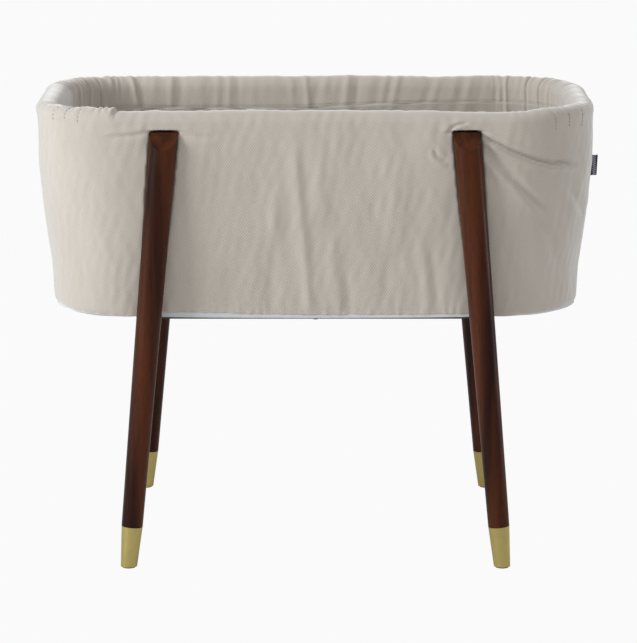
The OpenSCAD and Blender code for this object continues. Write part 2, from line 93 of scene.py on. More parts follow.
def make_area_light(name, place, aim, size, watts, colour):
    data = bpy.data.lights.new(name, "AREA")
    data.shape = "RECTANGLE"
    data.size, data.size_y = size
    data.energy = watts
    data.color = colour
    light = bpy.data.objects.new(name, data)
    light.location = place
    light.rotation_euler = (Vector(aim) - Vector(place)).to_track_quat("-Z", "Y").to_euler()
    bpy.context.scene.collection.objects.link(light)


make_camera()
bpy.context.scene.view_settings.view_transform = "Standard"
for studio_light in (
    ("key", (-3.5, -1.7, 2.0), (0, 0, 0.5), (1.6, 2.0), 134, (0.955, 0.98, 1.0)),
    ("fill", (1.2, -4.0, 2.6), (0, 0, 0.5), (2.4, 1.6), 20, (1.0, 0.95, 0.90)),
    ("low right", (3.4, 0.5, 0.35), (0.3, 0, 0.5), (0.9, 0.7), 9, (0.92, 0.96, 1.0)),
):
    make_area_light(*studio_light)


# ---------------------------------------------------------------- small array tools
def rise(low, high, value):
    """0 below low, 1 above high, smooth between."""
    t = np.clip((value - low) / (high - low), 0, 1)
    return t * t * (3 - 2 * t)


def hump(value, centre, width):
    """1 at the centre, dying away smoothly to both sides."""
    return np.exp(-(((value - centre) / width) ** 2))


def ring_gap(s, centre):
    """Signed way along the rim from centre to s, the short way round."""
    return (s - centre + ROUND_TRIP / 2) % ROUND_TRIP - ROUND_TRIP / 2


def undulation(s, c, seed, waves, slow, fast, across):
    """Smooth random swells that close on themselves round the basket, about 1 high."""
    rng = np.random.default_rng(seed)
    total = np.zeros(np.broadcast(s, c).shape)
    for _ in range(waves):
        turns = rng.integers(slow, fast)
        phase, tilt = rng.uniform(0, 2 * np.pi), rng.normal(0, across)
        total += np.cos(2 * np.pi * turns * s / ROUND_TRIP + tilt * c + phase)
    return total / math.sqrt(waves)


# ---------------------------------------------------------------- the basket's plan
def plan_segments():
    """(start, length, straight's first point or arc's centre, angle of the outward normal, is an arc)."""
    a, b = STRAIGHT_X, STRAIGHT_Y
    found, at = [], 0.0
    for length, point, angle, is_arc in (
        (a, (0, -HALF_WIDTH), -90, False), (ARC, (a, -b), -90, True),
        (2 * b, (HALF_LENGTH, -b), 0, False), (ARC, (a, b), 0, True),
        (2 * a, (a, HALF_WIDTH), 90, False), (ARC, (-a, b), 90, True),
        (2 * b, (-HALF_LENGTH, b), 180, False), (ARC, (-a, -b), 180, True),
        (a, (-a, -HALF_WIDTH), 270, False),
    ):
        found.append((at, length, point, math.radians(angle), is_arc))
        at += length
    return found


PLAN = plan_segments()


def plan(s):
    """Point and outward normal on the outer plan, s metres from the front's middle towards +X."""
    x, y, nx, ny = (np.zeros(len(s)) for _ in range(4))
    for start, length, point, angle, is_arc in PLAN:
        m = (s >= start - 1e-9) & (s < start + length)
        way = s[m] - start
        turn = angle + way / CORNER_R if is_arc else angle + 0 * way
        nx[m], ny[m] = np.cos(turn), np.sin(turn)
        if is_arc:
            x[m], y[m] = point[0] + CORNER_R * nx[m], point[1] + CORNER_R * ny[m]
        else:
            x[m], y[m] = point[0] - math.sin(angle) * way, point[1] + math.cos(angle) * way
    return x, y, nx, ny


def steps_round(straight_step, arc_step):
    """Places along the plan, closer together round the corners."""
    parts = []
    for start, length, _, _, is_arc in PLAN:
        count = round(length / (arc_step if is_arc else straight_step))
        parts.append(start + length * np.arange(count) / count)
    return np.concatenate(parts)


def s_front(x):
    return x % ROUND_TRIP


def s_back(x):
    return ROUND_TRIP / 2 - x


def s_corner(corner, degrees):
    """Place on a corner's arc, degrees away from the long side."""
    front, right = corner.startswith("front"), corner.endswith("right")
    middle = 0.0 if front else ROUND_TRIP / 2
    towards = 1 if front == right else -1
    return (middle + towards * (STRAIGHT_X + CORNER_R * math.radians(degrees))) % ROUND_TRIP


def lean(z):
    return np.clip((BREAK_Z - z) / (BREAK_Z - TAPER_LOW_Z), 0, 1)


def leg_line(z):
    """x, y and radius of a leg at height z, in the quadrant x > 0, y > 0."""
    t = z / LEG_TOP.z
    r = LEG_R_LOW + (LEG_R_TOP - LEG_R_LOW) * (z - LEG_R_LOW_Z) / (LEG_TOP.z - LEG_R_LOW_Z)
    return LEG_FOOT.x + (LEG_TOP.x - LEG_FOOT.x) * t, LEG_FOOT.y + (LEG_TOP.y - LEG_FOOT.y) * t, r


def wall_points(s, o, z):
    """Grid of points: s round the plan, o inwards from the outer face, z up."""
    x, y, nx, ny = (v[:, None] for v in plan(s))
    inset = o[None, :] + lean(z)[None, :] * (nx ** 2 * END_TAPER + ny ** 2 * SIDE_TAPER)
    up = np.broadcast_to(z[None, :], inset.shape)
    return np.stack([x - inset * nx, y - inset * ny, up], -1)


def grid_normals(p):
    along = np.roll(p, -1, 0) - np.roll(p, 1, 0)
    up = np.gradient(p, axis=1)
    n = np.cross(along, up)
    return n / np.maximum(np.linalg.norm(n, axis=-1, keepdims=True), 1e-12)


# ---------------------------------------------------------------- how the cloth moves
def leg_valley(s, z, spare=0.7 * MM):
    """How deep each leg presses into the long sides, along Y: the cloth follows its round back."""
    x, _, _, ny = plan(s)
    leg_x, leg_y, leg_r = leg_line(np.minimum(z, LEG_TOP.z))
    wall_y = HALF_WIDTH - SIDE_TAPER * lean(z)
    inner = np.where(z > LEG_FLAT_LOW_Z, LEG_FLAT_Y, leg_y - leg_r)
    gap = np.abs(np.abs(x)[:, None] - leg_x[None, :])
    reach = (leg_r + spare)[None, :]
    sunk = (wall_y - leg_y)[None, :]
    behind = sunk + np.sqrt(np.maximum(reach ** 2 - gap ** 2, 0))
    beside = np.maximum(sunk, 0) * np.exp(-np.maximum(gap - reach, 0) / (9 * MM))
    depth = np.minimum(np.maximum(behind, 0), np.maximum(0, wall_y - inner + spare)[None, :])
    depth = np.where(gap < reach, depth, beside)
    pull = 0.6 * MM * hump(gap, reach, 12 * MM) * rise(0.40, 0.66, z)[None, :]
    above = 1 - rise(LEG_TOP.z + 0.3 * MM, LEG_TOP.z + 4.5 * MM, z)
    return (depth + pull) * above[None, :] * (np.abs(ny)[:, None] > 0.85)


def crease(x, z, path, width, depth, ends=0.12):
    """A long fold in the front wall along path, a list of (x, z). Sharp above, soft below."""
    path = np.array(path)
    lengths = np.concatenate([[0], np.cumsum(np.linalg.norm(np.diff(path, axis=0), axis=1))])
    best = np.full(x.shape, 1e9)
    side, where = np.zeros(x.shape), np.zeros(x.shape)
    for k in range(len(path) - 1):
        (x0, z0), (x1, z1) = path[k], path[k + 1]
        dx, dz = x1 - x0, z1 - z0
        long = math.hypot(dx, dz)
        t = np.clip(((x - x0) * dx + (z - z0) * dz) / long ** 2, 0, 1)
        ox, oz = x - x0 - t * dx, z - z0 - t * dz
        d = np.hypot(ox, oz)
        nearer = d < best
        best = np.where(nearer, d, best)
        side = np.where(nearer, np.sign(dx * oz - dz * ox), side)
        where = np.where(nearer, (lengths[k] + t * long) / lengths[-1], where)
    signed = best * side
    fade = rise(0, ends, where) * (1 - rise(1 - 2 * ends, 1, where))
    shape = 0.75 * hump(signed, -1.9 * width, 1.5 * width) + 0.35 * hump(signed, 2.1 * width, 1.7 * width)
    return depth * fade * (shape - hump(signed, 0, width))


# Soft upright folds in the front wall: x at the middle, lower and upper end, width, height, lean
FRONT_FOLDS = [
    (-0.021, 0.40, 0.685, 8.5, 3.3, -0.09), (-0.034, 0.49, 0.66, 7, 1.0, -0.09),
    (0.006, 0.555, 0.69, 13, 1.9, -0.06), (0.031, 0.40, 0.545, 11, 2.4, -0.10),
    (0.051, 0.39, 0.475, 8, -1.5, -0.08), (-0.063, 0.525, 0.605, 10, 2.1, 0.0),
    (-0.068, 0.40, 0.495, 9, -1.8, 0.03), (-0.098, 0.42, 0.52, 13, 1.0, 0.05),
    (-0.135, 0.40, 0.47, 10, -1.0, 0.12), (-0.176, 0.40, 0.52, 13, -1.1, 0.10),
    (0.095, 0.41, 0.50, 13, 1.2, 0.06), (0.172, 0.40, 0.54, 9, 2.0, -0.09),
    (0.189, 0.41, 0.50, 7, -1.3, -0.09), (0.128, 0.50, 0.67, 22, 1.4, 0.00),
    (-0.330, 0.42, 0.56, 16, 1.1, -0.14), (-0.372, 0.42, 0.54, 12, -1.0, -0.10),
    (0.348, 0.41, 0.52, 15, 1.0, 0.10), (-0.215, 0.47, 0.62, 18, 1.0, 0.05),
]
BACK_FOLDS = [
    (-0.090, 0.42, 0.62, 10, 1.3, 0.03), (-0.045, 0.41, 0.56, 8, -1.1, -0.03),
    (0.030, 0.41, 0.63, 10, 1.5, 0.02), (0.085, 0.41, 0.52, 9, -1.0, 0.05),
    (0.150, 0.42, 0.60, 12, 1.1, 0.00), (-0.160, 0.40, 0.50, 10, 1.0, 0.08),
]


def between_legs(s):
    """1 along the long sides between the legs, 0 round the ends."""
    x, _, _, ny = plan(s.ravel())
    return ((1 - rise(0.290, 0.335, np.abs(x))) * (np.abs(ny) > 0.9)).reshape(s.shape)


def upright_folds(folds, x, z):
    total = np.zeros(x.shape)
    for middle, low, high, width, height, slant in folds:
        centre = middle + slant * (z - (low + high) / 2)
        span = rise(low - 0.02, low + 0.03, z) * (1 - rise(high - 0.05, high + 0.02, z))
        total += height * MM * hump(x, centre, width * MM) * span
    return total


def hem_gathers(s, z, seed):
    """Short irregular puckers where the hem's thread draws the cloth in."""
    rng = np.random.default_rng(seed)
    total = np.zeros(np.broadcast(s, z).shape)
    place = 0.0
    while place < ROUND_TRIP:
        place += rng.uniform(7, 19) * MM
        height, width = rng.uniform(0.5, 1.7) * MM, rng.uniform(2.6, 4.4) * MM
        top, slant = HEM_Z + rng.uniform(16, 46) * MM, rng.normal(0, 0.16)
        gap = ring_gap(s, place + slant * (z - HEM_Z))
        total += height * hump(gap, 0, width) * (1 - rise(HEM_Z + 6 * MM, top, z))
    drawn = 0.12 + 0.88 * between_legs(s)
    return total * drawn * rise(HEM_Z + 2 * MM, HEM_Z + 8 * MM, z)


DART_DEGREES = {"front_left": (31, 41, 51.3), "front_right": (32.8, 43.8, 56.8),
                "back_left": (38.6, 51.2, 66), "back_right": (31.8, 46.6, 60)}
# Where each corner's visible stitches start and end, from the rim's crest outwards
STITCH_SPAN = {"front_left": (30, 10), "front_right": (43, 18),
               "back_left": (32, 10), "back_right": (34, 12)}


def rim_darts(s, c):
    """Stitched pleats over the rim at the round corners: a sharp step and a soft swell beside it.
    c is the way over the rim from its crest, negative on the outer side."""
    total = np.zeros(np.broadcast(s, c).shape)
    for corner, angles in DART_DEGREES.items():
        for k, degrees in enumerate(angles):
            gap = ring_gap(s, s_corner(corner, degrees) + 0.05 * np.maximum(c, 0) * (k - 1))
            over = rise(-33 * MM, -16 * MM, c) * (0.45 + 0.55 * rise(-12 * MM, 14 * MM, c))
            total -= 2.3 * MM * hump(gap, 0, 1.9 * MM) * over
            total += 1.5 * MM * np.exp(-np.abs(gap) / (9 * MM)) * (gap > 0) * over
            total += 0.9 * MM * hump(gap, -8 * MM, 5 * MM) * over
    return total


def corner_mask(s):
    mask = np.zeros(s.shape)
    for corner in CORNERS:
        mask = np.maximum(mask, 1 - rise(0.085, 0.15, np.abs(ring_gap(s, s_corner(corner, 45)))))
    return mask


# Folds down the inside: place, width in mm, height in mm, lean, how far down they reach
INSIDE_FOLDS = (
    [(s_back(x), w, h, k, reach) for x, w, h, k, reach in (
        (-0.318, 6, 3.4, -0.28, 0.14), (-0.301, 6, -1.8, -0.22, 0.14), (-0.276, 9, 1.3, -0.1, 0.12),
        (-0.242, 6, 3.0, 0.06, 0.20), (-0.226, 7, -1.4, 0.05, 0.18), (-0.193, 8, 1.1, 0.0, 0.15),
        (-0.163, 6, 1.8, 0.05, 0.14), (-0.144, 5, 1.7, 0.04, 0.15), (-0.130, 5, -1.3, 0.02, 0.10),
        (-0.106, 8, 1.0, -0.05, 0.12), (-0.042, 6, 1.6, -0.08, 0.12), (-0.018, 5, 2.7, -0.10, 0.16),
        (0.0, 9, -1.0, 0.0, 0.14), (0.022, 8, 1.1, 0.10, 0.12), (0.057, 7, 2.6, 0.12, 0.16),
        (0.074, 5, -1.6, 0.12, 0.14), (0.097, 9, 1.3, 0.15, 0.12), (0.122, 6, 1.5, 0.20, 0.14),
        (0.142, 6, 2.2, 0.22, 0.16), (0.184, 10, 1.2, 0.22, 0.12), (0.212, 7, 1.6, 0.24, 0.12),
        (0.240, 9, 1.5, 0.26, 0.15), (0.266, 7, 1.9, 0.24, 0.14), (0.287, 7, -1.4, 0.22, 0.12),
        (0.316, 5, 1.4, 0.0, 0.12), (0.329, 4.5, 3.2, -0.04, 0.15))]
    + [(s_front(x), w, h, k, reach) for x, w, h, k, reach in (
        (-0.25, 10, 2.0, 0.1, 0.15), (-0.19, 9, -1.6, 0.0, 0.15), (-0.1, 12, 1.7, -0.1, 0.2),
        (-0.03, 10, -1.4, 0.1, 0.12), (0.05, 13, 1.6, 0.0, 0.2), (0.13, 10, 1.8, 0.12, 0.14),
        (0.2, 9, -1.8, -0.1, 0.15), (0.26, 10, 2.2, -0.15, 0.15))]
)


def inside_folds(s, c):
    total = np.zeros(np.broadcast(s, c).shape)
    for place, width, height, slant, reach in INSIDE_FOLDS:
        gap = ring_gap(s, place + slant * c)
        down = rise(-6 * MM, 16 * MM, c) * (1 - 0.75 * rise(reach * 0.6, reach * 1.6, c))
        total += height * MM * hump(gap, 0, width * MM) * down
    turn = 2 * np.pi * s / ROUND_TRIP
    drift = 3.4 * np.sin(13 * turn) + 2.2 * np.sin(31 * turn + 1)
    waves = np.cos(146 * turn + drift + 16 * c)
    waves = waves * (0.65 + 0.5 * np.sin(37 * turn + 2))
    x, _, _, _ = plan(s.ravel())
    height = np.where(x < 0, 1.25, 0.6).reshape(s.shape) * MM
    return total + height * waves * corner_mask(s) * rise(-22 * MM, 2 * MM, c) * (
        1 - 0.72 * rise(14 * MM, 30 * MM, c))


def rim_sway(s):
    """How far the rim's crest stands above or below its middle height."""
    sway = 0.5 * MM * undulation(s, 0 * s, 5, 7, 3, 12, 0)
    x = ring_gap(s, 0)
    front = np.abs(x) < 0.42
    tuck = rise(-0.395, -0.375, x) * (1 - rise(-0.3185, -0.3135, x))
    dip = rise(-0.3185, -0.3135, x) * (1 - rise(-0.31, -0.12, x))
    low = rise(0.17, 0.235, x) * (1 - rise(0.32, 0.38, x))
    return sway - 1.1 * MM + front * (2.7 * tuck - 1.6 * dip - 2.6 * low) * MM


def end_shape(s, z, c):
    """The rim is fuller round the ends, and the end walls are drawn in low down."""
    x, _, nx, _ = plan(s.ravel())
    ends = rise(0.35, 0.85, np.abs(nx)).reshape(s.shape)
    fuller = np.where(x < 0, 5.0, 3.0).reshape(s.shape) * MM
    low = np.where(x < 0, 3.6, 3.2).reshape(s.shape) * MM
    return ends * (fuller * hump(c, -17 * MM, 13 * MM) - low * hump(z, 0.468, 0.045) * (c < 0))


def seam_drop(x):
    """The seam inside runs lower towards the left."""
    return 10 * MM * (1 - rise(-0.09, 0.23, x))


def rim_tuck(s, c):
    """The one big overlap in the front of the rim, near its left end."""
    gap = ring_gap(s, s_front(-0.316) + 0.25 * c)
    over = rise(-26 * MM, -8 * MM, c) * (1 - rise(30 * MM, 50 * MM, c))
    return (1.6 * MM * np.exp(-np.abs(gap) / (13 * MM)) * (gap < 0)
            - 1.2 * MM * hump(gap, 2 * MM, 3 * MM)) * over


# ---------------------------------------------------------------- meshes from grids
def mesh_object(name, points, faces, smooth=True):
    mesh = bpy.data.meshes.new(name)
    mesh.from_pydata(points, [], faces)
    if smooth:
        mesh.shade_smooth()
    piece = bpy.data.objects.new(name, mesh)
    bpy.context.scene.collection.objects.link(piece)
    return piece


def grid_object(name, points, u, v, closed_up=False, keep=None):
    """A mesh from a grid that closes round its first axis. u and v are cloth lengths, for the weave."""
    n, m = points.shape[:2]
    cell = np.arange(n * m).reshape(n, m)
    nxt = np.roll(cell, -1, 0)
    if closed_up:
        cell, nxt = np.c_[cell, cell[:, :1]], np.c_[nxt, nxt[:, :1]]
    quads = np.stack([cell[:, :-1], nxt[:, :-1], nxt[:, 1:], cell[:, 1:]], -1)
    u_next = np.append(u[1:], ROUND_TRIP)
    v_all = np.append(v, v[-1] + MM) if closed_up else v
    uv = np.zeros(quads.shape + (2,))
    for k, (uu, vv) in enumerate(((u, 0), (u_next, 0), (u_next, 1), (u, 1))):
        uv[:, :, k, 0] = uu[:, None]
        uv[:, :, k, 1] = v_all[None, vv:len(v_all) - 1 + vv]
    if keep is not None:
        quads, uv = quads[keep], uv[keep]
    quads, uv = quads.reshape(-1, 4), uv.reshape(-1, 2)
    piece = mesh_object(name, points.reshape(-1, 3).tolist(), quads.tolist())
    layer = piece.data.uv_layers.new(name="cloth")
    layer.data.foreach_set("uv", uv.astype(np.float32).ravel())
    return piece


def thicken(piece, thickness):
    skin = piece.modifiers.new("cloth thickness", "SOLIDIFY")
    skin.thickness = thickness
    skin.offset = -1
    skin.use_even_offset = False


def cover_profile(hem_r):
    """o, z and c of the cover's section, from the turned-in hem, over the rim, to the seam inside."""
    turn = np.radians(np.linspace(270, 180, 9))
    o = [np.array([HEM_R + 3 * MM]), hem_r + hem_r * np.cos(turn)]
    z = [np.array([HEM_Z]), HEM_Z + hem_r + hem_r * np.sin(turn)]
    ledge = LEG_TOP.z - 6 * MM
    levels = np.concatenate([np.linspace(HEM_Z + hem_r, ledge, 84)[1:],
                             np.linspace(ledge, ROLL_Z, 22)[1:]])
    o.append(0 * levels)
    z.append(levels)
    turn = np.radians(np.linspace(180, 0, 36))[1:]
    o.append(ROLL_R + ROLL_R * np.cos(turn))
    z.append(ROLL_Z + ROLL_R * np.sin(turn))
    levels = np.linspace(ROLL_Z, SEAM_Z, 13)[1:]
    o.append(0 * levels + 2 * ROLL_R)
    z.append(levels)
    o, z = np.concatenate(o), np.concatenate(z)
    run = np.concatenate([[0], np.cumsum(np.hypot(np.diff(o), np.diff(z)))])
    return o, z, run, run - run[np.argmax(z)]


def cover_moves(s, z, c, p):
    """Everything that lifts or sinks the cover's cloth, along its own normal."""
    s2, z2, c2 = s[:, None], z[None, :], c[None, :]
    front = (p[..., 1] < -0.11) & (c2 < 0)
    back = (p[..., 1] > 0.11) & (c2 < 0)
    wall = rise(HEM_Z, HEM_Z + 30 * MM, z2) * (c2 < 0) + (c2 >= 0)
    moves = 0.55 * MM * undulation(s2, c2, 11, 16, 8, 42, 26) * wall
    moves = moves + 0.22 * MM * undulation(s2, c2, 12, 16, 60, 150, 90) * wall
    moves += front * upright_folds(FRONT_FOLDS, p[..., 0], p[..., 2])
    moves += back * upright_folds(BACK_FOLDS, p[..., 0], p[..., 2])
    for path, width, depth in FRONT_CREASES:
        moves += front * crease(p[..., 0], p[..., 2], path, width * MM, depth * MM)
    moves += hem_gathers(s2, z2, 21) * (c2 < 0)
    moves += rim_darts(s2, c2) + inside_folds(s2, c2) + rim_tuck(s2, c2) + end_shape(s2, z2, c2)
    near_seam = rise(c.max() - 7 * MM, c.max(), c2)
    return moves * (1 - 0.6 * near_seam) - 1.3 * MM * near_seam


# Drag lines that start at the front legs' tops: (x, z) points, width and depth in mm
FRONT_CREASES = [
    ([(0.255, 0.690), (0.285, 0.6755), (0.311, 0.663), (0.345, 0.649), (0.370, 0.6415), (0.384, 0.643),
      (0.402, 0.637), (0.425, 0.630)], 3.4, 7.6),
    ([(0.260, 0.674), (0.285, 0.645), (0.305, 0.625), (0.333, 0.595), (0.371, 0.556)], 6.0, 5.6),
    ([(0.205, 0.690), (0.2135, 0.702), (0.225, 0.7075), (0.240, 0.7085)], 2.6, 2.8),
    ([(-0.262, 0.692), (-0.290, 0.688), (-0.335, 0.684)], 4.0, 1.7),
    ([(-0.210, 0.690), (-0.180, 0.686), (-0.150, 0.684)], 4.0, 1.3),
    ([(0.184, 0.668), (0.190, 0.656), (0.200, 0.650), (0.208, 0.651)], 3.2, 2.4),
    ([(0.345, 0.560), (0.372, 0.520), (0.388, 0.470)], 8.0, 2.0),
    ([(0.400, 0.600), (0.418, 0.570), (0.430, 0.545)], 6.0, 2.4),
]


def hem_lift(s, z):
    """Between the legs the hem is drawn up, most at the left, so the tape under it shows."""
    x, _, _, _ = plan(s)
    high = (2.6 + 4.0 * rise(0.02, 0.25, -x) + 1.0 * rise(0.02, 0.25, x)) * MM
    far = np.abs(x)
    between = between_legs(s) * (1 - rise(0.255, 0.280, far))
    corner = np.where(x < 0, 2.8, 1.2) * MM * rise(0.27, 0.36, far) * (1 - rise(0.39, 0.44, far))
    lifted = between * high - corner
    return lifted[:, None] * (1 - rise(HEM_Z, HEM_Z + 50 * MM, z))[None, :]


def make_cover():
    s = steps_round(2.6 * MM, 1.7 * MM)
    o, z, run, c = cover_profile(HEM_R)
    tight_o, tight_z, _, _ = cover_profile(3 * MM)
    drawn = between_legs(s)[:, None, None]
    p = wall_points(s, o, z) * (1 - drawn) + wall_points(s, tight_o, tight_z) * drawn
    n = grid_normals(p)
    moved = p + n * cover_moves(s, z, c, p)[..., None]
    outside = (c < 0)[None, :]
    moved[..., 1] -= np.sign(p[..., 1]) * leg_valley(s, z) * outside
    moved[..., 2] += hem_lift(s, z) * outside
    crest = rise(-34 * MM, -10 * MM, c) * (1 - 0.6 * rise(20 * MM, 50 * MM, c))
    moved[..., 2] += rim_sway(s)[:, None] * crest[None, :]
    moved[..., 2] -= seam_drop(moved[..., 0]) * rise(24 * MM, c.max(), c)[None, :]
    cover = grid_object("basket_cover", moved, s, run)
    thicken(cover, 1.2 * MM)
    return cover, (s, c, moved, grid_normals(moved))


def liner_profile():
    """o, z and c of the inner cloth, from the seam down to the base board."""
    knots_z = np.array([BOARD_TOP + 2 * MM, 0.590, 0.621, 0.660, SEAM_Z])
    knots_o = np.array([24.2, 24.2, 25.0, 30.5, 39.0]) * MM
    down = np.linspace(SEAM_Z - 2 * MM, knots_z[0], 88)
    z = np.concatenate([[SEAM_Z + 0.8 * MM, SEAM_Z - 0.4 * MM], down])
    o = np.interp(z, knots_z, knots_o)
    smooth = np.convolve(np.pad(o, 6, "edge"), np.ones(13) / 13, "valid")
    o = np.where(z < SEAM_Z - 12 * MM, smooth, o)
    o[0] = 37.4 * MM
    run = np.concatenate([[0], np.cumsum(np.hypot(np.diff(o), np.diff(z)))])
    return o, z, run, run + 55 * MM


def make_liner():
    s = steps_round(5 * MM, 2.6 * MM)
    o, z, run, c = liner_profile()
    p = wall_points(s, o, z)
    n = grid_normals(p)
    s2, c2, z2 = s[:, None], c[None, :], z[None, :]
    moves = 0.7 * MM * (1 + undulation(s2, c2, 31, 14, 8, 40, 20))
    moves = moves + inside_folds(s2, c2) * (1 - 0.55 * hump(c2, c.min(), 7 * MM))
    moves += 0.8 * rim_darts(s2, 0 * c2 + 30 * MM) * (1 - rise(0.09, 0.16, c2))
    for corner in CORNERS:
        for degrees in (8, 86):
            gap = ring_gap(s2, s_corner(corner, degrees))
            moves -= 1.4 * MM * hump(gap, 0, 2.4 * MM) * rise(0.055, 0.075, c2)
    moves = moves * rise(BOARD_TOP, BOARD_TOP + 30 * MM, z2)
    moved = p + n * moves[..., None]
    moved[..., 2] -= seam_drop(moved[..., 0]) * rise(SEAM_Z - 90 * MM, SEAM_Z, z2)
    liner = grid_object("basket_liner", moved, s, -run)
    thicken(liner, 1.0 * MM)
    return liner


def make_wall_foam():
    """The foam in the walls, a closed ring between the two cloths."""
    s = steps_round(16 * MM, 9 * MM)
    z = np.linspace(BOARD_TOP + 4 * MM, SEAM_Z - 8 * MM, 14)
    outer = wall_points(s, 0 * z + 8 * MM, z)
    valley = np.sign(outer[..., 1]) * np.maximum(leg_valley(s, z, 6 * MM) - 8 * MM, 0)
    outer[..., 1] -= valley
    inner = wall_points(s, 0 * z + 17 * MM, z)
    inner[..., 1] -= 0.5 * valley
    ring = np.concatenate([outer, inner[:, ::-1]], 1)
    return grid_object("wall_foam", ring, s, np.arange(ring.shape[1]) * 10 * MM, closed_up=True)


def make_rim_foam():
    """The foam tube round the rim, cut away below where the legs and their plates come up."""
    s = steps_round(10 * MM, 7 * MM)
    x, _, _, ny = plan(s)
    leg_x, _, _ = leg_line(ROLL_Z)
    at_leg = (1 - rise(48 * MM, 62 * MM, np.abs(np.abs(x) - leg_x))) * (np.abs(ny) > 0.9)
    lowest = LEG_TOP.z + 2 * MM + 8.5 * MM * at_leg
    turn = np.linspace(0, 2 * np.pi, 18, endpoint=False)
    r = ROLL_R - 5.2 * MM
    ring = wall_points(s, ROLL_R + r * np.cos(turn), ROLL_Z - 0.5 * MM + r * np.sin(turn))
    ring[..., 2] = np.maximum(ring[..., 2] + np.minimum(rim_sway(s), 0)[:, None], lowest[:, None])
    return grid_object("rim_foam", ring[:, ::-1], s, np.arange(len(turn)) * 5 * MM, closed_up=True)


def make_hem_tape():
    """Light grey tape round the base board's edge, seen under the drawn-up hem."""
    s = steps_round(5 * MM, 5 * MM)
    x, _, nx, ny = plan(s)
    straight = between_legs(s) * (1 - rise(0.262, 0.277, np.abs(x)))
    sag = 3.6 * MM * np.cos(np.clip(x / 0.30, -1, 1) * np.pi / 2) ** 0.6
    ripple = 0.22 * MM * undulation(s, 0 * s, 41, 12, 40, 160, 0)
    low = HEM_Z + 0.8 * MM - sag * straight + 2.2 * MM * (1 - straight)
    high = BOARD_TOP - 0.6 * MM
    rings = []
    for side, o in ((1, 1.45 * MM), (-1, 2.35 * MM)):
        for t in np.linspace(0, 1, 7)[::side]:
            row = wall_points(s, np.array([o]), np.array([HEM_Z]))[:, 0]
            push = 8 * MM * (1 - straight) - ripple * (1 - t)
            row[:, 0] -= nx * push
            row[:, 1] -= ny * push
            row[:, 2] = low + (high - low) * t
            rings.append(row)
    return grid_object("hem_tape", np.stack(rings, 1), s, np.arange(len(rings)) * MM, closed_up=True)


# ---------------------------------------------------------------- stitches and tag
def add_stitches(name, lines, thickness):
    """Short thread capsules along lines of (point, normal) pairs."""
    verts, faces = [], []
    sides, rings = 6, ((0.0, 0.35), (0.15, 0.85), (0.5, 1.0), (0.85, 0.85), (1.0, 0.35))
    for start, end, normal in lines:
        start, end, normal = Vector(start), Vector(end), Vector(normal).normalized()
        along = end - start
        across = along.cross(normal).normalized()
        base = len(verts)
        for t, grow in rings:
            centre = start + along * t + normal * thickness * 0.35 * math.sin(math.pi * t)
            for k in range(sides):
                a = 2 * math.pi * k / sides
                verts.append(centre + (across * math.cos(a) + normal * math.sin(a)) * thickness * grow)
        for r in range(len(rings) - 1):
            for k in range(sides):
                a, b = base + r * sides + k, base + r * sides + (k + 1) % sides
                faces.append((a, b, b + sides, a + sides))
        faces.append(tuple(base + k for k in reversed(range(sides))))
        faces.append(tuple(base + (len(rings) - 1) * sides + k for k in range(sides)))
    return mesh_object(name, [tuple(v) for v in verts], faces)


def on_cloth(cloth, s_at, c_at, lift):
    """A point on the finished cover, and its normal."""
    s, c, points, normals = cloth
    i = int(np.argmin(np.abs(ring_gap(s, s_at))))
    j = int(np.argmin(np.abs(c - c_at)))
    return points[i, j] + normals[i, j] * lift, normals[i, j]


def make_dart_stitches(cloth):
    lines = []
    for corner, angles in DART_DEGREES.items():
        first, last = STITCH_SPAN[corner]
        for k, degrees in enumerate(angles):
            place, at = s_corner(corner, degrees), -(first - 3 * (k % 2)) * MM
            while at < -last * MM:
                a, n = on_cloth(cloth, place, at, 0.3 * MM)
                b, _ = on_cloth(cloth, place, at + 3.4 * MM, 0.3 * MM)
                lines.append((a, b, n))
                at += 5.6 * MM
    return add_stitches("dart_stitches", lines, 0.45 * MM)


def make_seam_stitches(cloth):
    _, c, points, normals = cloth
    row = int(np.argmin(np.abs(c - (c.max() - 6.5 * MM))))
    way = np.concatenate([[0], np.cumsum(np.linalg.norm(np.diff(points[:, row], axis=0), axis=1))])
    pitch, long = 5.2 * MM, 3.3 * MM
    lines = []
    for at in np.arange(0, way[-1] - pitch, pitch):
        n = normals[int(np.argmin(np.abs(way - at))), row]
        a, b = (np.array([np.interp(w, way, points[:, row, k]) for k in range(3)]) for w in (at, at + long))
        lines.append((a + n * 0.15 * MM, b + n * 0.15 * MM, n))
    return add_stitches("seam_stitches", lines, 0.33 * MM)


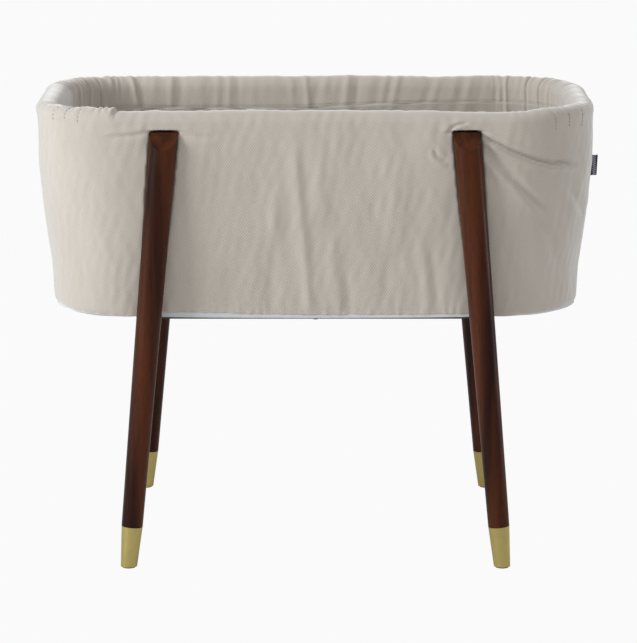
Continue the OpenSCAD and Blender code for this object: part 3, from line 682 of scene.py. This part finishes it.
def make_tag():
    """A folded woven tag on the right end wall, standing out and leaning a little."""
    low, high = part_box("cover_label")
    out, tall, y = high.x - low.x, high.z - low.z, (low.y + high.y) / 2
    across, up = 9, 15
    verts, faces = [], []
    for side in (1, -1):
        for i in range(up):
            w = i / (up - 1)
            for k in range(across):
                t = k / (across - 1)
                bulge = 0.42 * MM * math.sqrt(max(0.0, 1 - t ** 4)) * side
                x = low.x - 3.2 * MM + (out + 3.2 * MM) * t - 1.6 * MM * (1 - w) * t
                verts.append((x, y + bulge + 0.9 * MM * t * t, low.z + tall * w - 2.3 * MM + 0.5 * MM * t))
    count = up * across
    for side in (0, 1):
        for i in range(up - 1):
            for k in range(across - 1):
                a = side * count + i * across + k
                quad = (a, a + 1, a + across + 1, a + across)
                faces.append(quad if side else quad[::-1])
    for i, k in [(i, k) for i in range(up - 1) for k in (0, across - 1)]:
        a, b = i * across + k, count + i * across + k
        quad = (a, a + across, b + across, b)
        faces.append(quad if k else quad[::-1])
    for i, k in [(i, k) for k in range(across - 1) for i in (0, up - 1)]:
        a, b = i * across + k, count + i * across + k
        quad = (a, b, b + 1, a + 1)
        faces.append(quad if i else quad[::-1])
    return mesh_object("woven_tag", verts, faces)


# ---------------------------------------------------------------- mattress
MATTRESS_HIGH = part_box("mattress_border")[1]
MATTRESS_Z = (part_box("mattress_bottom_panel")[0].z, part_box("mattress_top_panel")[1].z)
MATTRESS_R = 100 * MM
SEAMS_Z = [(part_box(node)[0].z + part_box(node)[1].z) / 2
           for node in ("mattress_piping_bottom", "mattress_piping_top")]


def rounded_outline(half_x, half_y, radius, step):
    """Points round a rounded rectangle."""
    a, b = half_x - radius, half_y - radius
    points = []
    for cx, cy, first in ((a, -b, -90), (a, b, 0), (-a, b, 90), (-a, -b, 180)):
        count = max(8, round(radius * math.pi / 2 / step))
        for k in range(count + 1):
            t = math.radians(first + 90 * k / count)
            points.append((cx + radius * math.cos(t), cy + radius * math.sin(t)))
    return points


def make_mattress():
    """A filled slab: blown up as cloth held at its two seams, then quilted, flat underneath."""
    inset = 1.4 * MM
    half_x, half_y = MATTRESS_HIGH.x - inset, MATTRESS_HIGH.y - inset
    low, high = SEAMS_Z
    outline = rounded_outline(half_x, half_y, MATTRESS_R - inset, 12 * MM)
    n = len(outline)
    verts = [(x, y, low) for x, y in outline] + [(x, y, high) for x, y in outline]
    faces = [tuple(reversed(range(n))), tuple(range(n, 2 * n))]
    faces += [(k, (k + 1) % n, n + (k + 1) % n, n + k) for k in range(n)]
    piece = mesh_object("mattress", verts, faces, smooth=False)
    voxels = piece.modifiers.new("voxels", "REMESH")
    voxels.mode = "VOXEL"
    voxels.voxel_size = 6 * MM
    apply_modifiers(piece)
    blow_up(piece, pressure=4.0, cap=5 * MM, held=seam_points(piece, outline))
    press_to_seams(piece, half_x, half_y, MATTRESS_R - inset)
    finer = piece.modifiers.new("finer", "SUBSURF")
    finer.levels = finer.render_levels = 1
    apply_modifiers(piece)
    co = vertex_array(piece)
    quilt = quilting(co[:, 0], co[:, 1])
    crown = 1 - (np.abs(co[:, 0]) / half_x) ** 4 * 0.8 - (np.abs(co[:, 1]) / half_y) ** 4 * 0.8
    top = rise(high - 12 * MM, high - 2 * MM, co[:, 2])
    co[:, 2] += top * (2.2 * MM * np.maximum(crown, 0) - 2.6 * MM * quilt)
    co[:, 0] = np.clip(co[:, 0], -MATTRESS_HIGH.x, MATTRESS_HIGH.x)
    co[:, 1] = np.clip(co[:, 1], -MATTRESS_HIGH.y + 0.3 * MM, MATTRESS_HIGH.y - 0.3 * MM)
    co[:, 2] = np.clip(co[:, 2], MATTRESS_Z[0], MATTRESS_Z[1] + 9 * MM)
    place_vertices(piece, co)
    piece.data.shade_smooth()
    return piece


def seam_points(piece, outline):
    """The points close to the two sewn edges; the piping holds them where they are."""
    co = vertex_array(piece)
    far = np.full(len(co), 1.0)
    for x, y in outline:
        far = np.minimum(far, np.hypot(co[:, 0] - x, co[:, 1] - y))
    near_seam = np.minimum(np.abs(co[:, 2] - SEAMS_Z[0]), np.abs(co[:, 2] - SEAMS_Z[1]))
    return np.nonzero((far < 10 * MM) & (near_seam < 5 * MM))[0].tolist()


def wall_distance(x, y, half_x, half_y, radius):
    """How far a point lies inside the rounded outline (below 0) and which way is out."""
    px, py = np.abs(x) - (half_x - radius), np.abs(y) - (half_y - radius)
    qx, qy = np.maximum(px, 0), np.maximum(py, 0)
    corner = np.hypot(qx, qy)
    inside = np.minimum(np.maximum(px, py), 0)
    out_x = np.where(corner > 1e-9, qx / np.maximum(corner, 1e-9), px > py)
    out_y = np.where(corner > 1e-9, qy / np.maximum(corner, 1e-9), px <= py)
    return corner + inside - radius, out_x * np.sign(x), out_y * np.sign(y)


def press_to_seams(piece, half_x, half_y, radius):
    """Bring the side wall out to the two seams, a little proud half way up."""
    co = vertex_array(piece)
    far, out_x, out_y = wall_distance(co[:, 0], co[:, 1], half_x, half_y, radius)
    middle, half = sum(SEAMS_Z) / 2, (SEAMS_Z[1] - SEAMS_Z[0]) / 2
    level = np.clip((co[:, 2] - middle) / half, -1, 1)
    target = 1.0 * MM * (1 - level ** 2)
    share = rise(-14 * MM, -5 * MM, far)
    co[:, 0] += out_x * (target - far) * share
    co[:, 1] += out_y * (target - far) * share
    over = np.maximum(np.abs(co[:, 2] - middle) - half, 0)
    co[:, 2] -= np.sign(co[:, 2] - middle) * over * share
    place_vertices(piece, co)


def make_floor_cloth():
    """The bottom lining: one layer lying on the base board, a little rumpled."""
    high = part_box("liner_floor")[1]
    outline = np.array(rounded_outline(high.x - MM, high.y - MM, 105 * MM, 8 * MM))
    shares = np.r_[0.001, np.linspace(0.02, 1, 50)]
    points = np.zeros((len(outline), len(shares), 3))
    points[..., :2] = outline[:, None, :] * shares[None, :, None]
    x, y = points[..., 0], points[..., 1]
    rumple = np.zeros_like(x)
    maker = np.random.default_rng(31)
    for _ in range(14):
        way = maker.uniform(0, math.pi)
        pitch = maker.uniform(40, 160) * MM
        phase = maker.uniform(0, 6.28)
        rumple += np.sin((x * math.cos(way) + y * math.sin(way)) / pitch * 6.28 + phase) / 14
    points[..., 2] = high.z - 0.25 * MM + 0.9 * MM * np.clip(rumple, -0.6, 0.2)
    run = np.linspace(0, 2.2, len(outline))
    return grid_object("floor_cloth", points, run, shares * 0.2)


def quilting(x, y):
    """1 in the stitched lines of a diamond quilt, 0 between them."""
    pitch = 74 * MM
    depth = 0
    for way in (x + 0.62 * y, x - 0.62 * y):
        off = np.abs((way / pitch + 0.5) % 1 - 0.5) * pitch / math.hypot(1, 0.62)
        depth = np.maximum(depth, np.exp(-(off / (4.2 * MM)) ** 1.5))
    return depth


def apply_modifiers(piece):
    shown = piece.evaluated_get(bpy.context.evaluated_depsgraph_get())
    mesh = bpy.data.meshes.new_from_object(shown)
    piece.modifiers.clear()
    piece.data = mesh


def vertex_array(piece):
    co = np.zeros(len(piece.data.vertices) * 3)
    piece.data.vertices.foreach_get("co", co)
    return co.reshape(-1, 3)


def place_vertices(piece, co):
    piece.data.vertices.foreach_set("co", co.astype(np.float32).ravel())
    piece.data.update()


def blow_up(piece, pressure, cap, held):
    """Twenty frames of pressurised cloth, with no gravity; no point moves further than cap."""
    before = vertex_array(piece)
    piece.vertex_groups.new(name="held").add(held, 1.0, "REPLACE")
    cloth = piece.modifiers.new("cloth", "CLOTH")
    cloth.settings.vertex_group_mass = "held"
    cloth.settings.use_pressure = True
    cloth.settings.uniform_pressure_force = pressure
    cloth.settings.effector_weights.gravity = 0
    cloth.settings.quality = 4
    cloth.settings.tension_stiffness = 22
    scene = bpy.context.scene
    for number in range(1, 21):
        scene.frame_set(number)
    apply_modifiers(piece)
    scene.frame_set(1)
    after = vertex_array(piece)
    way = after - before
    long = np.linalg.norm(way, axis=1, keepdims=True)
    after = before + way * np.minimum(1, cap / np.maximum(long, 1e-9))
    place_vertices(piece, after)


def make_piping(name, node):
    """Corded edging: a tube round the mattress, a little uneven as sewn piping is."""
    low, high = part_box(node)
    z, radius = (low.z + high.z) / 2, 2.5 * MM
    outline = rounded_outline(MATTRESS_HIGH.x - 1.2 * MM, MATTRESS_HIGH.y - 1.2 * MM, MATTRESS_R, 5 * MM)
    points = []
    for k, (x, y) in enumerate(outline):
        nx, ny = outline[(k + 1) % len(outline)]
        count = max(1, round(math.hypot(nx - x, ny - y) / (6 * MM)))
        points += [(x + (nx - x) * t / count, y + (ny - y) * t / count) for t in range(count)]
    path = np.array(points)
    along = np.roll(path, -1, 0) - np.roll(path, 1, 0)
    normal = np.stack([along[:, 1], -along[:, 0]], 1) / np.linalg.norm(along, axis=1)[:, None]
    run = np.linspace(0, ROUND_TRIP, len(path), endpoint=False)
    wobble = 0.22 * MM * undulation(run, 0 * run, 61, 20, 60, 260, 0)
    rings = []
    for k in range(8):
        a = 2 * math.pi * k / 8
        r = radius + wobble
        rings.append(np.column_stack([path + normal * (r * math.cos(a))[:, None], z + r * math.sin(a)]))
    return grid_object(name, np.stack(rings, 1), run, np.arange(8) * 2 * MM, closed_up=True)


# ---------------------------------------------------------------- shader groups
def new_group(name, inputs, outputs):
    tree = bpy.data.node_groups.new(name, "ShaderNodeTree")
    for label, kind, value in inputs:
        socket = tree.interface.new_socket(label, in_out="INPUT", socket_type=kind)
        if value is not None:
            socket.default_value = value
    for label, kind in outputs:
        tree.interface.new_socket(label, in_out="OUTPUT", socket_type=kind)
    return tree, tree.nodes.new("NodeGroupInput"), tree.nodes.new("NodeGroupOutput")


def math_node(tree, operation, a, b=None):
    node = tree.nodes.new("ShaderNodeMath")
    node.operation = operation
    for slot, value in ((0, a), (1, b)):
        if value is None:
            continue
        if isinstance(value, (int, float)):
            node.inputs[slot].default_value = value
        else:
            tree.links.new(value, node.inputs[slot])
    return node.outputs[0]


def noise_node(tree, vector, scale, detail=4.0, rough=0.55):
    node = tree.nodes.new("ShaderNodeTexNoise")
    if isinstance(scale, float):
        node.inputs["Scale"].default_value = scale
    else:
        tree.links.new(scale, node.inputs["Scale"])
    node.inputs["Detail"].default_value = detail
    node.inputs["Roughness"].default_value = rough
    tree.links.new(vector, node.inputs["Vector"])
    return node.outputs["Fac"]


def remap(tree, value, low, high, to_low, to_high):
    node = tree.nodes.new("ShaderNodeMapRange")
    for k, v in enumerate((low, high, to_low, to_high)):
        node.inputs[k + 1].default_value = v
    tree.links.new(value, node.inputs[0])
    return node.outputs[0]


def mix_colour(tree, factor, a, b):
    node = tree.nodes.new("ShaderNodeMix")
    node.data_type = "RGBA"
    tree.links.new(factor, node.inputs["Factor"])
    for label, value in (("A", a), ("B", b)):
        socket = [i for i in node.inputs if i.name == label and i.type == "RGBA"][0]
        if isinstance(value, tuple):
            socket.default_value = (*value, 1)
        else:
            tree.links.new(value, socket)
    return [o for o in node.outputs if o.type == "RGBA"][0]


def make_twill_group():
    """Two sets of slanting ribs, one stronger, with fibre fuzz. Height and shade both run about 0.5."""
    tree, given, out = new_group(
        "twill weave",
        [("Cloth", "NodeSocketVector", None), ("Rib", "NodeSocketFloat", 0.0033),
         ("Fuzz", "NodeSocketFloat", 0.35)],
        [("Height", "NodeSocketFloat"), ("Shade", "NodeSocketFloat")])
    split = tree.nodes.new("ShaderNodeSeparateXYZ")
    tree.links.new(given.outputs["Cloth"], split.inputs[0])
    u = math_node(tree, "MULTIPLY", split.outputs[0], 0.788)
    v = math_node(tree, "MULTIPLY", split.outputs[1], 0.615)
    turns = math_node(tree, "DIVIDE", 2 * math.pi, given.outputs["Rib"])
    wander = math_node(tree, "MULTIPLY", noise_node(tree, given.outputs["Cloth"], 95.0, 3.0), 4.2)
    height = None
    for way, strength in (("SUBTRACT", 0.30), ("ADD", 0.21)):
        slant = math_node(tree, "MULTIPLY", math_node(tree, way, u, v), turns)
        rib = math_node(tree, "SINE", math_node(tree, "ADD", slant, wander))
        rib = math_node(tree, "MULTIPLY", rib, strength)
        height = rib if height is None else math_node(tree, "ADD", height, rib)
    fuzz = noise_node(tree, given.outputs["Cloth"], 1300.0, 3.0, 0.7)
    loose = math_node(tree, "MULTIPLY", math_node(tree, "SUBTRACT", fuzz, 0.5), given.outputs["Fuzz"])
    total = math_node(tree, "ADD", math_node(tree, "ADD", height, loose), 0.5)
    tree.links.new(total, out.inputs["Height"])
    shade = math_node(tree, "ADD", height, math_node(tree, "ADD", loose, 0.5))
    tree.links.new(shade, out.inputs["Shade"])
    return tree


def make_mottle_group():
    """Slow colour drift over a surface, 0 to 1."""
    tree, given, out = new_group(
        "slow mottle",
        [("Vector", "NodeSocketVector", None), ("Scale", "NodeSocketFloat", 9.0)],
        [("Drift", "NodeSocketFloat")])
    drift = noise_node(tree, given.outputs["Vector"], given.outputs["Scale"], 3.0, 0.5)
    tree.links.new(remap(tree, drift, 0.3, 0.7, 0.0, 1.0), out.inputs["Drift"])
    return tree


def make_grain_group():
    """Straight wood grain along Z: dark pores, growth bands and slow stain drift."""
    tree, given, out = new_group(
        "wood grain",
        [("Vector", "NodeSocketVector", None)],
        [("Bands", "NodeSocketFloat"), ("Pores", "NodeSocketFloat"), ("Drift", "NodeSocketFloat")])
    stretch = tree.nodes.new("ShaderNodeMapping")
    stretch.inputs["Scale"].default_value = (1.0, 1.0, 0.055)
    tree.links.new(given.outputs["Vector"], stretch.inputs["Vector"])
    bands = noise_node(tree, stretch.outputs[0], 120.0, 3.0, 0.6)
    pores = noise_node(tree, stretch.outputs[0], 900.0, 2.0, 0.6)
    drift = noise_node(tree, stretch.outputs[0], 38.0, 2.0)
    tree.links.new(remap(tree, bands, 0.32, 0.68, 0, 1), out.inputs["Bands"])
    tree.links.new(remap(tree, pores, 0.55, 0.72, 0, 1), out.inputs["Pores"])
    tree.links.new(remap(tree, drift, 0.35, 0.65, 0, 1), out.inputs["Drift"])
    return tree


def make_scuff_group():
    """Fine random handling marks and a broad slow colour drift on metal."""
    tree, given, out = new_group(
        "metal scuffs",
        [("Vector", "NodeSocketVector", None), ("Scale", "NodeSocketFloat", 260.0)],
        [("Fine", "NodeSocketFloat"), ("Broad", "NodeSocketFloat")])
    fine = noise_node(tree, given.outputs["Vector"], given.outputs["Scale"], 6.0, 0.5)
    broad = noise_node(tree, given.outputs["Vector"], 22.0, 3.0)
    tree.links.new(fine, out.inputs["Fine"])
    tree.links.new(broad, out.inputs["Broad"])
    return tree


TWILL, MOTTLE = make_twill_group(), make_mottle_group()
GRAIN, SCUFFS = make_grain_group(), make_scuff_group()


# ---------------------------------------------------------------- materials
def new_material(name, roughness, metallic=0.0, sheen=0.0, coat=0.0, specular=0.5):
    material = bpy.data.materials.new(name)
    material.use_nodes = True
    tree = material.node_tree
    shader = tree.nodes["Principled BSDF"]
    shader.inputs["Roughness"].default_value = roughness
    shader.inputs["Metallic"].default_value = metallic
    shader.inputs["Sheen Weight"].default_value = sheen
    shader.inputs["Sheen Roughness"].default_value = 0.5
    shader.inputs["Coat Weight"].default_value = coat
    shader.inputs["Coat Roughness"].default_value = 0.25
    shader.inputs["Specular IOR Level"].default_value = specular
    return material, tree, shader


def place_group(tree, group, vector, **values):
    node = tree.nodes.new("ShaderNodeGroup")
    node.node_tree = group
    tree.links.new(vector, node.inputs[0])
    for label, value in values.items():
        node.inputs[label].default_value = value
    return node.outputs


def object_vector(tree):
    return tree.nodes.new("ShaderNodeTexCoord").outputs["Object"]


def cloth_vector(tree):
    node = tree.nodes.new("ShaderNodeUVMap")
    node.uv_map = "cloth"
    return node.outputs[0]


def bump(tree, shader, height, distance, strength=1.0):
    node = tree.nodes.new("ShaderNodeBump")
    node.inputs["Distance"].default_value = distance
    node.inputs["Strength"].default_value = strength
    tree.links.new(height, node.inputs["Height"])
    tree.links.new(node.outputs[0], shader.inputs["Normal"])


def cloth_material(name, dark, light, rib, relief, mapped):
    """Woven cloth: ribs from the cloth's own lengths where it has them, else from its place."""
    material, tree, shader = new_material(name, 0.86, sheen=0.9, specular=0.22)
    where = cloth_vector(tree) if mapped else object_vector(tree)
    weave = place_group(tree, TWILL, where, Rib=rib, Fuzz=0.35)
    drift = place_group(tree, MOTTLE, object_vector(tree), Scale=7.0)["Drift"]
    shade = math_node(tree, "ADD", math_node(tree, "MULTIPLY", weave["Shade"], 0.75),
                      math_node(tree, "MULTIPLY", drift, 0.25))
    tree.links.new(mix_colour(tree, shade, dark, light), shader.inputs["Base Color"])
    tree.links.new(remap(tree, weave["Height"], 0.1, 0.9, 0.92, 0.8), shader.inputs["Roughness"])
    bump(tree, shader, weave["Height"], relief)
    return material


def walnut_material():
    material, tree, shader = new_material("walnut_stain", 0.34, coat=0.06, specular=0.09)
    grain = place_group(tree, GRAIN, object_vector(tree))
    warm = mix_colour(tree, grain["Bands"], (0.011, 0.0026, 0.0012), (0.028, 0.0064, 0.0023))
    redder = math_node(tree, "MULTIPLY", grain["Drift"], 0.9)
    drifted = mix_colour(tree, redder, warm, (0.078, 0.0205, 0.0062))
    pored = math_node(tree, "MULTIPLY", grain["Pores"], 0.6)
    dark = mix_colour(tree, pored, drifted, (0.010, 0.0030, 0.0016))
    tree.links.new(dark, shader.inputs["Base Color"])
    tree.links.new(remap(tree, grain["Bands"], 0, 1, 0.40, 0.30), shader.inputs["Roughness"])
    bump(tree, shader, grain["Pores"], -0.05 * MM, 0.35)
    return material


def metal_material(name, low, high, roughness, metallic, scale, relief):
    material, tree, shader = new_material(name, roughness, metallic)
    scuffs = place_group(tree, SCUFFS, object_vector(tree), Scale=scale)
    tree.links.new(mix_colour(tree, scuffs["Broad"], low, high), shader.inputs["Base Color"])
    spread = remap(tree, scuffs["Fine"], 0.3, 0.7, roughness - 0.07, roughness + 0.09)
    tree.links.new(spread, shader.inputs["Roughness"])
    bump(tree, shader, scuffs["Fine"], relief * MM, 0.5)
    return material


def grainy_material(name, low, high, roughness, scale, relief):
    """Felt, foam or board: a fine random grain."""
    material, tree, shader = new_material(name, roughness, specular=0.25)
    where = object_vector(tree)
    fine = noise_node(tree, where, scale, 5.0, 0.65)
    shade = remap(tree, fine, 0.3, 0.7, 0, 1)
    tree.links.new(mix_colour(tree, shade, low, high), shader.inputs["Base Color"])
    bump(tree, shader, fine, relief * MM, 0.8)
    return material


def tag_material():
    """Woven dark tag with a pale zigzag line down its middle, no lettering."""
    material, tree, shader = new_material("label", 0.8, specular=0.12)
    split = tree.nodes.new("ShaderNodeSeparateXYZ")
    tree.links.new(object_vector(tree), split.inputs[0])
    low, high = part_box("cover_label")
    x = remap(tree, split.outputs[0], low.x, high.x, 0, 1)
    z = math_node(tree, "MULTIPLY", split.outputs[2], 2 * math.pi / (3.3 * MM))
    zigzag = math_node(tree, "ABSOLUTE", math_node(tree, "SUBTRACT", x, math_node(
        tree, "ADD", 0.5, math_node(tree, "MULTIPLY", math_node(tree, "SINE", z), 0.17))))
    line = math_node(tree, "LESS_THAN", zigzag, 0.085)
    thread = noise_node(tree, object_vector(tree), 1900.0, 2.0)
    navy = mix_colour(tree, thread, (0.018, 0.016, 0.040), (0.045, 0.042, 0.080))
    pale = mix_colour(tree, thread, (0.42, 0.42, 0.46), (0.62, 0.62, 0.64))
    tree.links.new(mix_colour(tree, line, navy, pale), shader.inputs["Base Color"])
    bump(tree, shader, thread, 0.08 * MM, 0.7)
    return material


TWILL_COLOURS = (0.370, 0.332, 0.287), (0.515, 0.470, 0.420)
# Cloths: name, darkest and lightest colour, rib spacing and relief in mm, ribs follow the cloth
CLOTHS = [
    ("cover_twill", *TWILL_COLOURS, 3.3, 0.17, True),
    ("liner_twill", *TWILL_COLOURS, 3.3, 0.17, True),
    ("floor_cloth", (0.38, 0.34, 0.30), (0.53, 0.49, 0.44), 3.3, 0.17, False),
    ("hem_tape", (0.46, 0.475, 0.49), (0.64, 0.655, 0.665), 1.4, 0.10, True),
    ("mattress_fabric", (0.72, 0.70, 0.66), (0.86, 0.85, 0.82), 1.8, 0.10, False),
    ("mattress_piping", (0.66, 0.63, 0.58), (0.80, 0.78, 0.73), 1.6, 0.10, False),
    ("zip_tape", (0.70, 0.68, 0.64), (0.82, 0.80, 0.77), 1.2, 0.08, False),
]
# Metals: name, two colours, roughness, how metallic, size of the scuffs, relief in mm
METALS = [
    ("brass", (0.42, 0.337, 0.120), (0.535, 0.436, 0.168), 0.42, 1.0, 260.0, 0.02),
    ("insert_brass", (0.50, 0.36, 0.15), (0.60, 0.45, 0.20), 0.30, 1.0, 260.0, 0.02),
    ("coated_steel", (0.020, 0.013, 0.012), (0.035, 0.022, 0.019), 0.45, 0.0, 900.0, 0.05),
    ("zinc_steel", (0.50, 0.51, 0.53), (0.62, 0.63, 0.64), 0.30, 1.0, 260.0, 0.02),
    ("zip_metal", (0.48, 0.48, 0.50), (0.62, 0.62, 0.63), 0.26, 1.0, 260.0, 0.02),
]
# Grainy stuffs: name, two colours, roughness, size of the grain, relief in mm
GRAINY = [
    ("felt", (0.045, 0.038, 0.034), (0.09, 0.08, 0.07), 0.95, 1400.0, 0.25),
    ("foam", (0.72, 0.69, 0.60), (0.84, 0.81, 0.72), 0.9, 700.0, 0.3),
    ("mattress_foam", (0.74, 0.71, 0.62), (0.85, 0.82, 0.73), 0.9, 700.0, 0.3),
    ("grey_board", (0.50, 0.51, 0.52), (0.60, 0.61, 0.62), 0.55, 500.0, 0.03),
    ("dart_thread", (0.22, 0.17, 0.12), (0.34, 0.27, 0.20), 0.7, 2500.0, 0.05),
    # Seam thread, coloured darker than the cloth as painted shade: it stands for the small shadow line
    # along the sewn seam
    ("seam_thread_painted_shade", (0.34, 0.305, 0.265), (0.44, 0.395, 0.345), 0.8, 2500.0, 0.05),
]


def make_materials():
    made = {"walnut_stain": walnut_material(), "label": tag_material()}
    for name, dark, light, rib, relief, mapped in CLOTHS:
        made[name] = cloth_material(name, dark, light, rib * MM, relief * MM, mapped)
    for name, *finish in METALS:
        made[name] = metal_material(name, *finish)
    for name, *finish in GRAINY:
        made[name] = grainy_material(name, *finish)
    return made


MATERIALS = make_materials()


def dress(piece, material):
    piece.data.materials.clear()
    piece.data.materials.append(MATERIALS[material])


# ---------------------------------------------------------------- put it together
def dress_cad_nodes():
    for row in frame["record"]["subparts"]:
        node = frame["nodes"][row["node"]]
        slot = row["material_slot"]
        for k in range(len(node.material_slots)):
            node.material_slots[k].material = MATERIALS[slot]


def settle(piece, body, material, slot, *nodes):
    dress(piece, material)
    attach(piece, body)
    if nodes:
        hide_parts(*nodes)


# How bright the pale floor and background are to the camera; what they light is set apart
BACKDROP = 0.956


def make_floor():
    half = 40.0
    corners = [(-half, -half, 0), (half, -half, 0), (half, half, 0), (-half, half, 0)]
    floor = mesh_object("floor", corners, [(0, 1, 2, 3)], smooth=False)
    material = bpy.data.materials.new("pale floor")
    material.use_nodes = True
    tree = material.node_tree
    shader = tree.nodes["Principled BSDF"]
    shader.inputs["Roughness"].default_value = 1.0
    shader.inputs["Specular IOR Level"].default_value = 0.0
    shader.inputs["Emission Color"].default_value = (1, 1, 1, 1)
    seen = tree.nodes.new("ShaderNodeLightPath").outputs["Is Camera Ray"]
    tree.links.new(mix_colour(tree, seen, (0.78, 0.78, 0.78), (0, 0, 0)), shader.inputs["Base Color"])
    tree.links.new(remap(tree, seen, 0, 1, 0, BACKDROP), shader.inputs["Emission Strength"])
    floor.data.materials.append(material)


def make_world():
    world = bpy.data.worlds.new("soft studio")
    world.use_nodes = True
    tree = world.node_tree
    back = tree.nodes["Background"]
    back.inputs["Color"].default_value = (1, 1, 1, 1)
    path = tree.nodes.new("ShaderNodeLightPath")
    strength = remap(tree, path.outputs["Is Camera Ray"], 0, 1, 0.585, BACKDROP)
    tree.links.new(strength, back.inputs["Strength"])
    bpy.context.scene.world = world


make_floor()
make_world()
dress_cad_nodes()

cover, cover_cloth = make_cover()
settle(cover, BASKET, "cover_twill", "cover_twill", "outer_cover")
liner = make_liner()
settle(liner, BASKET, "liner_twill", "liner_twill", "inner_liner")
foam = make_wall_foam()
settle(foam, BASKET, "foam", "foam", "wall_padding")
rim_foam = make_rim_foam()
settle(rim_foam, BASKET, "foam", "foam", "rim_foam_sleeve")
tape = make_hem_tape()
settle(tape, BASKET, "hem_tape", "hem_tape", "hem_binding")
tag = make_tag()
settle(tag, BASKET, "label", "label", "cover_label")
darts = make_dart_stitches(cover_cloth)
settle(darts, BASKET, "dart_thread", "cover_twill")
seam = make_seam_stitches(cover_cloth)
# The seam stitches carry a darker thread colour as painted shade for the seam's shadow line
settle(seam, BASKET, "seam_thread_painted_shade", "cover_twill")

floor_cloth = make_floor_cloth()
thicken(floor_cloth, 0.6 * MM)
settle(floor_cloth, BASKET, "floor_cloth", "liner_twill", "liner_floor")

mattress = make_mattress()
settle(mattress, "mattress", "mattress_fabric", "mattress_fabric",
       "mattress_core", "mattress_top_panel", "mattress_border", "mattress_bottom_panel")
for edge in ("piping_top", "piping_bottom"):
    piping = make_piping(edge, "mattress_" + edge)
    settle(piping, "mattress", "mattress_piping", "mattress_piping", "mattress_" + edge)
